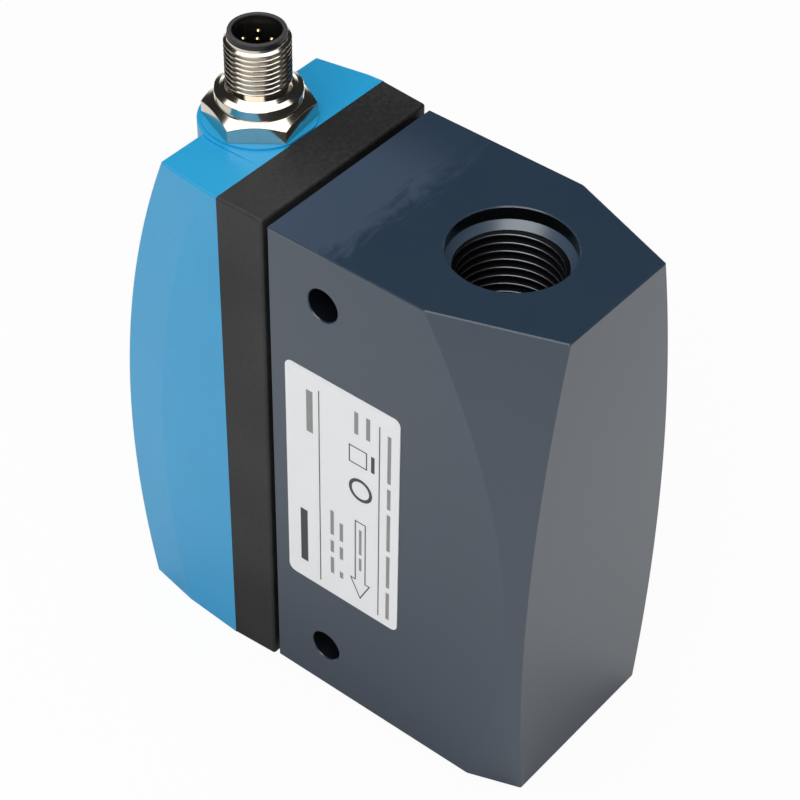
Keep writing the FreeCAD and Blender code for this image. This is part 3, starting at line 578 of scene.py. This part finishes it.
def add_shape(target: bmesh.types.BMesh, part: bmesh.types.BMesh) -> None:
    """Put a copy of one shape into another and free it.

    Args:
        target: The shape that takes it in.
        part: The shape that is added.
    """
    mesh = bpy.data.meshes.new("part")
    part.to_mesh(mesh)
    part.free()
    target.from_mesh(mesh)
    bpy.data.meshes.remove(mesh)


@dataclass
class MeasuringBlock:
    """The anodised block with its two threaded ports."""

    height: float = 108.0
    edge_width: float = 0.35
    edge_tilt: tuple[float, float] = (0.45, 0.9)
    hole_place: tuple[float, float] = (-23.1, 43.0)
    hole_radius: float = 3.3
    recess_radius: float = 11.4
    lead_in_reach: float = 0.39
    slack: float = 0.05
    thread_radius: float = 10.48
    crest_radius: float = 9.316
    thread_pitch: float = 1.814
    thread_top: float = 104.38
    thread_foot: float = 88.82
    thread_start: float = 128.0
    thread_turns: float = 8.4
    run_out: float = 0.3
    flank_angle: float = 27.5
    crest_round: float = 0.25
    crest_steps: int = 3
    crest_cut: float = 3.0
    crest_tilt: tuple[float, float] = (-0.3, 0.85)
    thread_sink: float = 0.15
    wall_gap: float = 0.02
    root_gaps: tuple[float, float] = (0.06, 0.12)
    crease: float = 22.0
    thread_crease: float = 40.0

    def build(self) -> list[bpy.types.Object]:
        """Make the block and its threads.

        Returns:
            The pieces.
        """
        return [self.body(), self.thread("inlet_thread", False), self.thread("outlet_thread", True)]

    def body(self) -> bpy.types.Object:
        """Make the block, with paler worn edges that carry a painted highlight, painted shade in its ports
        and holes, and a painted highlight on the lead-in bevels.

        Returns:
            The block.
        """
        shape = node_shape("measuring_block")
        self.deepen_lead_ins(shape)
        finishes = [ANODISED, WORN_EDGE_AND_HIGHLIGHT, BORE_PAINTED_SHADE, LEAD_IN_PAINTED_HIGHLIGHT, HOLE_PAINTED_SHADE]
        for face in shape.faces:
            face.material_index = finishes.index(self.face_finish(face))
        shade(shape, self.crease)
        piece = make_piece(shape, "block_body", finishes, ("measuring_block",))
        keep_flats_flat(piece)
        return piece

    def face_finish(self, face: bmesh.types.BMFace) -> Finish:
        """Tell a face's finish from its place and tilt.

        Args:
            face: A face of the block.

        Returns:
            Its finish.
        """
        low, high = self.edge_tilt
        middle = self.height / 2
        sloped = low < abs(face.normal.z) < high
        reach = max(math.hypot(point.co.x, point.co.y) for point in face.verts)
        hole_x, hole_rise = self.hole_place
        from_hole = max(math.hypot(point.co.x - hole_x, abs(point.co.z - middle) - hole_rise)
                        for point in face.verts)
        near_end = abs(face.calc_center_median().z - middle) > middle - self.edge_width
        # Ports and holes get painted shade; the lead-in bevels and end edges get a painted highlight.
        if reach < self.recess_radius + self.slack:
            return LEAD_IN_PAINTED_HIGHLIGHT if sloped and reach > self.thread_radius + 2 * self.slack else BORE_PAINTED_SHADE
        if from_hole < self.hole_radius + self.slack:
            return HOLE_PAINTED_SHADE
        return WORN_EDGE_AND_HIGHLIGHT if near_end and sloped else ANODISED

    def deepen_lead_ins(self, shape: bmesh.types.BMesh) -> None:
        """Carry each port's lead-in bevel on across the first thread crest, at its own slope.

        Args:
            shape: The block.
        """
        middle = self.height / 2
        bevel_end = self.thread_top - middle
        for point in shape.verts:
            radius = math.hypot(point.co.x, point.co.y)
            rise = abs(point.co.z - middle)
            if abs(radius - self.thread_radius) < self.slack and abs(rise - bevel_end) < self.slack:
                share = (radius - self.lead_in_reach) / radius
                point.co.x *= share
                point.co.y *= share
                point.co.z = middle + (point.co.z - middle) * (rise - self.lead_in_reach) / rise
        shape.normal_update()

    def thread(self, name: str, at_foot: bool) -> bpy.types.Object:
        """Make one port's pipe thread, with rounded crests and a run-out under the lead-in bevel.

        Args:
            name: The piece's name.
            at_foot: Whether it is turned over into the lower port.

        Returns:
            The thread.
        """
        half = self.thread_pitch / 2
        wall, arc = self.thread_radius, self.crest_round
        root, face_radius = wall + self.thread_sink, wall - self.wall_gap
        deep_gap, face_gap = self.root_gaps
        tangent = 90 - self.flank_angle
        angles = [math.radians(tangent * step / self.crest_steps)
                  for step in range(-self.crest_steps, self.crest_steps + 1)]
        crest = [(self.crest_radius + arc * (1 - math.cos(a)), arc * math.sin(a)) for a in angles]
        section = [(root, deep_gap - half), (face_radius, face_gap - half), *crest,
                   (face_radius, half - face_gap), (root, half - deep_gap)]
        shape = screw_ridge(section, self.thread_pitch, self.thread_turns, self.thread_start)
        bmesh.ops.translate(shape, vec=(0, 0, self.thread_foot), verts=shape.verts)
        set_radii(shape, lambda place, radius: root - (root - radius) * self.depth_share(place))
        bevel_end = self.thread_top - self.lead_in_reach
        least = wall - self.lead_in_reach + self.wall_gap
        set_radii(shape, lambda place, radius: max(radius, least - self.crest_cut * (bevel_end - place.z)))
        shape.normal_update()
        # Faces off the crests get the black finish of painted shade.
        low, high = self.crest_tilt
        for face in shape.faces:
            face.material_index = int(low < face.normal.z < high)
        if at_foot:
            bmesh.ops.rotate(shape, verts=shape.verts, cent=(0, 0, self.height / 2),
                             matrix=Matrix.Rotation(math.pi, 3, "X"))
        shade(shape, self.thread_crease)
        return make_piece(shape, name, [FLANK_PAINTED_SHADE, CREST])

    def depth_share(self, place: Vector) -> float:
        """Tell how much of its depth the thread has at a place on its screw line.

        Args:
            place: A point of the thread.

        Returns:
            1 along the thread, falling to 0 over the run-out.
        """
        part = (math.degrees(math.atan2(place.y, place.x)) - self.thread_start) % 360 / 360
        turn = part + round((place.z - self.thread_foot) / self.thread_pitch - part)
        return min(1.0, max(0.0, (self.thread_turns - turn) / self.run_out))


@dataclass
class RatingLabel:
    """The sticker on the label face, with a generic print: rules, a flow arrow and plain marks.

    A rule is given by its place along X, lower end and upper end, and a bar by these and its width. The ring
    is given by its middle, radius and line width, and the square by its middle and side.
    """

    face: float = -22.15
    ink: float = 0.012
    line: float = 0.26
    rule_width: float = 0.24
    rules: tuple[tuple[float, ...], ...] = ((-24.0, 29.2, 77.2), (-10.1, 29.0, 76.9))
    arrow: tuple[tuple[float, float], ...] = (
        (-15.7, 50.6), (-15.7, 35.2), (-16.9, 35.2), (-14.4, 30.4), (-12.0, 35.2), (-13.1, 35.2),
        (-13.1, 50.6))
    ring: tuple[float, ...] = (-14.4, 58.7, 2.7, 0.7)
    ring_steps: int = 64
    square: tuple[float, ...] = (-15.0, 66.7, 4.2)
    bold_bars: tuple[tuple[float, ...], ...] = ((-11.6, 64.75, 68.65, 0.8), (-27.9, 32.0, 45.5, 1.7))
    faint_bars: tuple[tuple[float, ...], ...] = (
        (-26.2, 66.0, 76.0, 1.5), (-21.1, 33.0, 37.2, 0.8), (-21.1, 38.6, 41.6, 0.8),
        (-21.1, 43.2, 49.4, 0.8), (-18.9, 33.0, 34.6, 0.8), (-18.9, 38.0, 41.2, 0.8),
        (-18.9, 42.8, 47.4, 0.8), (-15.4, 72.0, 77.2, 0.9), (-12.7, 72.0, 77.2, 0.9),
        (-14.4, 38.0, 41.2, 0.6), (-14.4, 42.2, 48.6, 0.6), (-7.9, 29.4, 36.4, 0.8),
        (-7.9, 37.8, 46.0, 0.8), (-7.9, 47.4, 56.6, 0.8), (-7.9, 58.0, 63.0, 0.8), (-7.9, 64.4, 75.8, 0.8))
    crease: float = 30.0

    def build(self) -> list[bpy.types.Object]:
        """Make the film and its print.

        Returns:
            The pieces.
        """
        return [self.film(), self.print_piece("label_print", INK, self.bold_marks()),
                self.print_piece("label_lines", FAINT_INK, self.faint_marks())]

    def film(self) -> bpy.types.Object:
        """Make a smooth-shaded copy of the film.

        Returns:
            The film.
        """
        shape = node_shape("rating_label")
        shade(shape, self.crease)
        return make_piece(shape, "label_film", [FILM], ("rating_label",))

    def print_piece(self, name: str, finish: Finish, marks: bmesh.types.BMesh) -> bpy.types.Object:
        """Give flat marks the thickness of ink and stand them on the film.

        Args:
            name: The piece's name.
            finish: The ink.
            marks: Flat faces in the plane y = 0.

        Returns:
            The print.
        """
        raised = bmesh.ops.extrude_face_region(marks, geom=marks.faces[:])
        tops = [item for item in raised["geom"] if isinstance(item, bmesh.types.BMVert)]
        bmesh.ops.translate(marks, vec=(0, -self.ink, 0), verts=tops)
        bmesh.ops.recalc_face_normals(marks, faces=marks.faces)
        bmesh.ops.translate(marks, vec=(0, self.face, 0), verts=marks.verts)
        return make_piece(marks, name, [finish])

    def bar(self, shape: bmesh.types.BMesh, place: float, low: float, high: float, width: float) -> None:
        """Add an upright bar.

        Args:
            shape: The marks.
            place: The bar's middle along X.
            low: Its lower end.
            high: Its upper end.
            width: Its width.
        """
        matrix = (Matrix.Translation((place, 0, (low + high) / 2)) @ Matrix.Rotation(math.pi / 2, 4, "X")
                  @ Matrix.Diagonal((width, high - low, 1, 1)))
        bmesh.ops.create_grid(shape, x_segments=1, y_segments=1, size=0.5, matrix=matrix)

    def outline(self, shape: bmesh.types.BMesh, corners: list[tuple[float, float]]) -> None:
        """Add a closed line through corners.

        Args:
            shape: The marks.
            corners: Places along X and Z.
        """
        face = shape.faces.new([shape.verts.new((x, 0.0, z)) for x, z in corners])
        face.normal_update()
        bmesh.ops.inset_region(shape, faces=[face], thickness=self.line, use_boundary=True,
                               use_even_offset=True)
        bmesh.ops.delete(shape, geom=[face], context="FACES_ONLY")

    def bold_marks(self) -> bmesh.types.BMesh:
        """Draw rules, arrow, ring, square and bold bars.

        Returns:
            The flat marks.
        """
        shape = bmesh.new()
        for rule in self.rules:
            self.bar(shape, *rule, self.rule_width)
        for mark in self.bold_bars:
            self.bar(shape, *mark)
        self.outline(shape, list(self.arrow))
        x, z, side = self.square
        half = side / 2
        self.outline(shape, [(x - half, z - half), (x + half, z - half), (x + half, z + half),
                             (x - half, z + half)])
        x, z, radius, width = self.ring
        upright = Matrix.Translation((x, 0, z)) @ Matrix.Rotation(math.pi / 2, 4, "X")
        loops = []
        for size in (radius, radius - width):
            made = bmesh.ops.create_circle(shape, segments=self.ring_steps, radius=size, matrix=upright)
            loops += {edge for vert in made["verts"] for edge in vert.link_edges}
        bmesh.ops.bridge_loops(shape, edges=loops)
        return shape

    def faint_marks(self) -> bmesh.types.BMesh:
        """Draw the grey bars.

        Returns:
            The flat marks.
        """
        shape = bmesh.new()
        for mark in self.faint_bars:
            self.bar(shape, *mark)
        return shape


@dataclass
class Housing:
    """The black spacer frame and the blue electronics cover."""

    crease: float = 30.0

    def build(self) -> list[bpy.types.Object]:
        """Make both mouldings.

        Returns:
            The pieces.
        """
        return [self.moulding("spacer_frame", "frame_moulding", BLACK_MOULDING),
                self.moulding("electronics_cover", "cover_moulding", BLUE_MOULDING)]

    def moulding(self, node: str, name: str, finish: Finish) -> bpy.types.Object:
        """Make a smooth copy of a moulding.

        Args:
            node: The CAD node.
            name: The piece's name.
            finish: Its finish.

        Returns:
            The moulding.
        """
        shape = node_shape(node)
        shade(shape, self.crease)
        piece = make_piece(shape, name, [finish], (node,))
        keep_flats_flat(piece)
        return piece


@dataclass
class PlugConnector:
    """The nickel-plated M12 plug with its insulating insert and five pins."""

    axis: tuple[float, float, float] = PLUG_AXIS
    hexagon_top: float = 113.35
    hexagon_round: float = 0.1
    round_steps: int = 2
    seam_drop: float = 0.05
    collar_radius: float = 8.0
    collar_top: float = 115.3
    shoulder_radius: float = 7.0
    shoulder_level: float = 115.76
    step_radius: float = 6.25
    step_top: float = 116.32
    edge_break: float = 0.06
    thread_foot: float = 116.45
    thread_top: float = 126.35
    thread_bevel: float = 0.5
    thread_start: float = 120.0
    thread_inset: float = 0.45
    thread_sink: float = 0.08
    pitch: float = 1.0
    crest_radius: float = 6.0
    crest_break: float = 0.04
    crest_halves: tuple[float, float] = (0.08, 0.045)
    core_radius: float = 5.42
    core_halves: tuple[float, float] = (0.46, 0.41)
    bore_radius: float = 4.95
    rim_radius: float = 5.3
    rim_top: float = 127.45
    rim_round: float = 0.28
    painted_light_depth: float = 0.05
    cup_radius: float = 4.45
    cup_floor: float = 118.85
    insert_foot: float = 106.85
    insert_steps: int = 96
    skirt_radius: float = 4.9
    key_turn: float = 173.3
    key_radius: float = 0.4
    key_drop: float = 0.9
    key_steps: int = 24
    pin_radius: float = 0.5
    pin_circle: float = 2.5
    pin_turn: float = -51.7
    pin_foot: float = 103.85
    pin_top: float = 125.65
    pin_steps: int = 32
    dome_step: int = 15
    shell_crease: float = 25.0
    thread_crease: float = 9.0
    insert_crease: float = 40.0

    def build(self) -> list[bpy.types.Object]:
        """Make the plug.

        Returns:
            The pieces.
        """
        return [self.shell(), self.thread(), self.insert(), self.pins()]

    def shell(self) -> bpy.types.Object:
        """Make the spigot and hexagon, cut off just under the hexagon's top.

        Returns:
            The shell.
        """
        shape = node_shape("connector_shell")
        cut = bmesh.ops.bisect_plane(shape, geom=shape.verts[:] + shape.edges[:] + shape.faces[:],
                                     plane_co=(0, 0, self.hexagon_top - self.seam_drop),
                                     plane_no=(0, 0, 1), clear_outer=True)
        rims = [item for item in cut["geom_cut"] if isinstance(item, bmesh.types.BMEdge)]
        bmesh.ops.bridge_loops(shape, edges=rims)
        shade(shape, self.shell_crease)
        piece = make_piece(shape, "plug_shell", [NICKEL], ("connector_shell",))
        rounding = piece.modifiers.new("rounded_edges", "BEVEL")
        rounding.width = self.hexagon_round * MM
        rounding.segments = self.round_steps
        rounding.limit_method = "ANGLE"
        rounding.angle_limit = math.radians(self.shell_crease)
        keep_flats_flat(piece)
        return piece

    def thread(self) -> bpy.types.Object:
        """Make the shell's collar with its two-slope shoulder, and the threaded end.

        Returns:
            The threaded tube on its collar.
        """
        foot = self.hexagon_top - 2 * self.seam_drop
        rim, edge = self.collar_radius, self.edge_break
        core, crest = self.core_radius, self.crest_radius
        shape = spun([(self.bore_radius, foot), (rim, foot), (rim, self.collar_top - edge),
                      (rim - edge, self.collar_top), (self.shoulder_radius, self.shoulder_level),
                      (self.step_radius, self.step_top), (core, self.step_top), (core, self.thread_top),
                      (self.bore_radius, self.thread_top)], TURN_STEPS)
        sunk_half, core_half = self.core_halves
        break_half, crest_half = self.crest_halves
        upper = [(core - self.thread_sink, sunk_half), (core, core_half),
                 (crest - self.crest_break, break_half), (crest, crest_half)]
        section = [(radius, -rise) for radius, rise in upper] + upper[::-1]
        turns = (self.thread_top - self.thread_foot - 2 * self.thread_inset) / self.pitch
        ridge = screw_ridge(section, self.pitch, turns, self.thread_start)
        bmesh.ops.translate(ridge, vec=(0, 0, self.thread_foot + self.thread_inset), verts=ridge.verts)
        bevel = self.thread_top - self.thread_bevel
        set_radii(ridge, lambda place, radius: min(radius, crest - max(0.0, place.z - bevel)))
        add_shape(shape, ridge)
        bmesh.ops.translate(shape, vec=self.axis, verts=shape.verts)
        shade(shape, self.thread_crease)
        return make_piece(shape, "plug_thread", [NICKEL])

    def insert(self) -> bpy.types.Object:
        """Make the insulating cup with its coding key and its rounded rim, which is drawn lighter as painted
        light.

        Returns:
            The insert.
        """
        rim, cup, top, soft = self.rim_radius, self.cup_radius, self.rim_top, self.rim_round
        skirt, foot = self.skirt_radius, self.insert_foot
        corner = soft * (1 - math.sqrt(0.5))
        shape = spun([
            (0, foot), (skirt, foot), (skirt, self.thread_top), (rim, self.thread_top), (rim, top - soft),
            (rim - corner, top - corner), (rim - soft, top), (cup + soft, top),
            (cup + corner, top - corner), (cup, top - soft), (cup, self.cup_floor), (0, self.cup_floor)],
            self.insert_steps)
        angle = math.radians(self.key_turn)
        key_top = top - self.key_drop
        key = Matrix.Translation((cup * math.cos(angle), cup * math.sin(angle),
                                  (self.cup_floor + key_top) / 2))
        bmesh.ops.create_cone(shape, cap_ends=True, segments=self.key_steps, radius1=self.key_radius,
                              radius2=self.key_radius, depth=key_top - self.cup_floor, matrix=key)
        bmesh.ops.translate(shape, vec=self.axis, verts=shape.verts)
        # The rim's faces get the lighter finish: painted light.
        for face in shape.faces:
            face.material_index = int(face.calc_center_median().z > top - soft - self.painted_light_depth)
        shade(shape, self.insert_crease)
        return make_piece(shape, "plug_insert", [INSULATOR, RIM_PAINTED_LIGHT],
                          ("contact_carrier",))

    def pins(self) -> bpy.types.Object:
        """Make five pins with domed tips.

        Returns:
            The pins.
        """
        shape = bmesh.new()
        size, circle = self.pin_radius, self.pin_circle
        turns = [math.radians(self.pin_turn + 90 * step) for step in range(4)]
        places = [(0.0, 0.0)] + [(circle * math.cos(turn), circle * math.sin(turn)) for turn in turns]
        tilts = [math.radians(tilt) for tilt in range(0, 90, self.dome_step)]
        dome = [(size * math.cos(tilt), self.pin_top - size + size * math.sin(tilt)) for tilt in tilts]
        profile = [(0, self.pin_foot), (size, self.pin_foot), *dome, (0, self.pin_top)]
        for x, y in places:
            pin = spun(profile, self.pin_steps)
            bmesh.ops.translate(pin, vec=(x, y, 0), verts=pin.verts)
            add_shape(shape, pin)
        bmesh.ops.translate(shape, vec=self.axis, verts=shape.verts)
        shade(shape, self.insert_crease)
        return make_piece(shape, "plug_pins", [GOLD], ("contact_pins",))


@dataclass
class SensorProbes:
    """The two probe tubes that stand in the air stream."""

    nodes: tuple[str, ...] = ("heated_probe", "reference_probe")
    crease: float = 30.0
    sliver: float = 0.001

    def build(self) -> list[bpy.types.Object]:
        """Make smooth copies of the probes without faces of no area.

        Returns:
            The pieces.
        """
        return [self.tube(node) for node in self.nodes]

    def tube(self, node: str) -> bpy.types.Object:
        """Make one probe.

        Args:
            node: The CAD node.

        Returns:
            The probe.
        """
        shape = node_shape(node)
        bmesh.ops.dissolve_degenerate(shape, dist=self.sliver, edges=shape.edges)
        shade(shape, self.crease)
        return make_piece(shape, node + "_tube", [STEEL], (node,))


@dataclass
class CarriedNodes:
    """CAD nodes that keep their own shape and get a finish."""

    finishes: dict[str, Finish] = field(default_factory=lambda: {
        "frame_gasket": RUBBER, "cover_seal": RUBBER, "connector_seal": RUBBER, "plug_seal": RUBBER,
        "sensor_plug": STEEL, "frame_screws": STEEL, "plug_screws": STEEL, "board_screws": STEEL,
        "probe_leads": LEAD, "connector_leads": LEAD, "main_board": BOARD, "lead_socket": SOCKET,
        "processor_chip": CHIP, "amplifier_chip": CHIP, "supply_coil": CHIP, "supply_capacitors": CAN})

    def build(self) -> list[bpy.types.Object]:
        """Dress every node.

        Returns:
            The nodes' objects.
        """
        for name, finish in self.finishes.items():
            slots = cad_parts[name].data.materials
            slots.clear()
            slots.append(finish.material())
        return [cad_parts[name] for name in self.finishes]


@dataclass(frozen=True)
class Softbox:
    """A rectangular lamp, with its power in watts."""

    name: str
    place: tuple[float, float, float]
    width: float
    depth: float
    power: float


@dataclass
class Studio:
    """A white table in a pale room, a key softbox, a canopy, a weak fill strip, and the camera."""

    softboxes: tuple[Softbox, ...] = (
        Softbox("key", (265.0, -705.0, 789.0), 1120.0, 676.0, 6.7),
        Softbox("canopy", (-92.0, -30.0, 1180.0), 1420.0, 1030.0, 9.9),
        Softbox("fill", (-460.0, 460.0, 50.0), 1400.0, 100.0, 1.0))
    aim: tuple[float, float, float] = (-20.0, 0.0, 80.0)
    floor_level: float = -1.0
    floor_side: float = 12000.0
    floor_grey: float = 0.85
    glow_share: float = 0.94
    painted_shadow_reach: float = 300.0
    painted_shadow_range: tuple[float, float] = (0.5, 0.92)
    painted_shadow_floor: float = 0.35
    painted_pool_middle: tuple[float, float, float] = (155.0, -196.0, 0.0)
    painted_pool_radii: tuple[float, float] = (620.0, 420.0)
    painted_pool_rim: float = 0.15
    horizon: tuple[float, float] = (0.6, 1.0)
    horizon_height: float = 0.12
    overhead: float = 0.03
    camera_place: tuple[float, float, float] = (183.612, -261.036, 365.03)
    camera_right: tuple[float, float, float] = (0.77574387, 0.63090143, 0.01359543)
    camera_up: tuple[float, float, float] = (-0.43401594, 0.51777013, 0.73725454)
    camera_back: tuple[float, float, float] = (0.45809564, -0.57782132, 0.67547828)
    lens: float = 109.879
    sensor: float = 36.0
    nearest: float = 10.0

    def build(self) -> None:
        """Set up floor, light and camera."""
        self.floor()
        self.world()
        for box in self.softboxes:
            self.hang(box)
        self.camera()
        bpy.context.scene.view_settings.view_transform = "Standard"

    def mirrored_rays(self, tree: Tree, path: bpy.types.Node) -> Socket:
        """Pick out rays that come off a glossy surface or through a clear one.

        Args:
            tree: The node tree.
            path: Its light path node.

        Returns:
            1 for such a ray, else 0.
        """
        picked = add_node(tree, "Math", {0: path.outputs["Is Glossy Ray"],
                                         1: path.outputs["Is Transmission Ray"]}, operation="MAXIMUM")
        return picked.outputs[0]

    def floor(self) -> None:
        """Lay a white floor with a faint shadow; reflections show a painted pool of light and a painted
        shadow.
        """
        shape = bmesh.new()
        bmesh.ops.create_grid(shape, x_segments=1, y_segments=1, size=self.floor_side * MM / 2,
                              matrix=Matrix.Translation((0, 0, self.floor_level * MM)))
        mesh = bpy.data.meshes.new("floor")
        shape.to_mesh(mesh)
        shape.free()
        floor = bpy.data.objects.new("floor", mesh)
        bpy.context.scene.collection.objects.link(floor)
        made = bpy.data.materials.new("white_table")
        made.use_nodes = True
        tree = made.node_tree
        tree.nodes.remove(tree.nodes["Principled BSDF"])
        grey = self.floor_grey
        matte = add_node(tree, "BsdfDiffuse", {"Color": (grey, grey, grey, 1.0)})
        # Painted shadow: the floor's glow in reflections dims where the meter hides the open sky.
        open_sky = add_node(tree, "AmbientOcclusion", {"Distance": self.painted_shadow_reach * MM})
        dark, clear = self.painted_shadow_range
        shadow = add_node(tree, "MapRange", {"Value": open_sky.outputs["AO"], "From Min": dark,
                                             "From Max": clear, "To Min": self.painted_shadow_floor})
        # Painted pool of light: the glow in reflections fades away from the pool's middle.
        place = add_node(tree, "TexCoord").outputs["Object"]
        middle = [value * MM for value in self.painted_pool_middle]
        far = add_node(tree, "VectorMath", {0: place, 1: middle}, operation="DISTANCE")
        outer, inner = self.painted_pool_radii
        pool = add_node(tree, "MapRange", {"Value": far.outputs["Value"], "From Min": outer * MM,
                                           "From Max": inner * MM, "To Min": self.painted_pool_rim},
                        interpolation_type="SMOOTHSTEP")
        mirrored = add_node(tree, "Math", {0: shadow.outputs[0], 1: pool.outputs[0]}, operation="MULTIPLY")
        path = add_node(tree, "LightPath")
        strength = add_node(tree, "Math", {0: mirrored.outputs[0], 1: path.outputs["Is Camera Ray"]},
                            operation="MAXIMUM")
        glow = add_node(tree, "Emission", {"Color": linear("#ffffff"), "Strength": strength.outputs[0]})
        seen = add_node(tree, "Math", {0: path.outputs["Is Camera Ray"], 1: self.mirrored_rays(tree, path)},
                        operation="MAXIMUM")
        share = add_node(tree, "Math", {0: seen.outputs[0], 1: self.glow_share}, operation="MULTIPLY")
        mixed = add_node(tree, "MixShader", {0: share.outputs[0], 1: matte.outputs[0], 2: glow.outputs[0]})
        tree.links.new(mixed.outputs[0], tree.nodes["Material Output"].inputs["Surface"])
        mesh.materials.append(made)

    def world(self) -> None:
        """Light the room: white to the camera, else pale near the horizon and dark overhead."""
        world = bpy.data.worlds.new("room")
        bpy.context.scene.world = world
        world.use_nodes = True
        tree = world.node_tree
        place = add_node(tree, "TexCoord").outputs["Generated"]
        parts = add_node(tree, "SeparateXYZ", {"Vector": place})
        path = add_node(tree, "LightPath")
        lighting, mirrored = self.horizon
        horizon = add_node(tree, "MapRange", {"Value": self.mirrored_rays(tree, path), "To Min": lighting,
                                              "To Max": mirrored})
        height = add_node(tree, "MapRange", {"Value": parts.outputs["Z"], "From Min": 0.0,
                                             "From Max": self.horizon_height,
                                             "To Min": horizon.outputs[0], "To Max": self.overhead},
                          interpolation_type="SMOOTHSTEP")
        strength = add_node(tree, "Math", {0: height.outputs[0], 1: path.outputs["Is Camera Ray"]},
                            operation="MAXIMUM")
        background = tree.nodes["Background"]
        background.inputs["Color"].default_value = linear("#ffffff")
        tree.links.new(strength.outputs[0], background.inputs["Strength"])

    def hang(self, box: Softbox) -> None:
        """Hang a softbox that looks at the meter.

        Args:
            box: The softbox.
        """
        light = bpy.data.lights.new(box.name, "AREA")
        light.shape = "RECTANGLE"
        light.size = box.width * MM
        light.size_y = box.depth * MM
        light.energy = box.power
        lamp = bpy.data.objects.new(box.name, light)
        place = Vector(box.place) * MM
        aim = Vector(self.aim) * MM - place
        across = Vector(self.camera_right).cross(aim).normalized()
        side = aim.cross(across).normalized()
        turn = Matrix((side, -across, -aim.normalized())).transposed().to_4x4()
        lamp.matrix_world = Matrix.Translation(place) @ turn
        lamp.visible_camera = False
        bpy.context.scene.collection.objects.link(lamp)

    def camera(self) -> None:
        """Stand the camera where the photograph was taken from."""
        lens = bpy.data.cameras.new("camera")
        lens.lens = self.lens
        lens.sensor_width = self.sensor
        lens.clip_start = self.nearest * MM
        turn = Matrix((self.camera_right, self.camera_up, self.camera_back)).transposed().to_4x4()
        camera = bpy.data.objects.new("camera", lens)
        camera.matrix_world = Matrix.Translation([value * MM for value in self.camera_place]) @ turn
        bpy.context.scene.collection.objects.link(camera)
        bpy.context.scene.camera = camera


def main() -> None:
    """Build the meter's pieces in order, then the studio."""
    logging.basicConfig(level=logging.INFO, format="%(name)s %(message)s")
    assemblies = (MeasuringBlock(), RatingLabel(), Housing(), PlugConnector(), SensorProbes(),
                  CarriedNodes())
    for assembly in assemblies:
        for piece in assembly.build():
            report(piece)
    Studio().build()


if __name__ == "__main__":
    main()
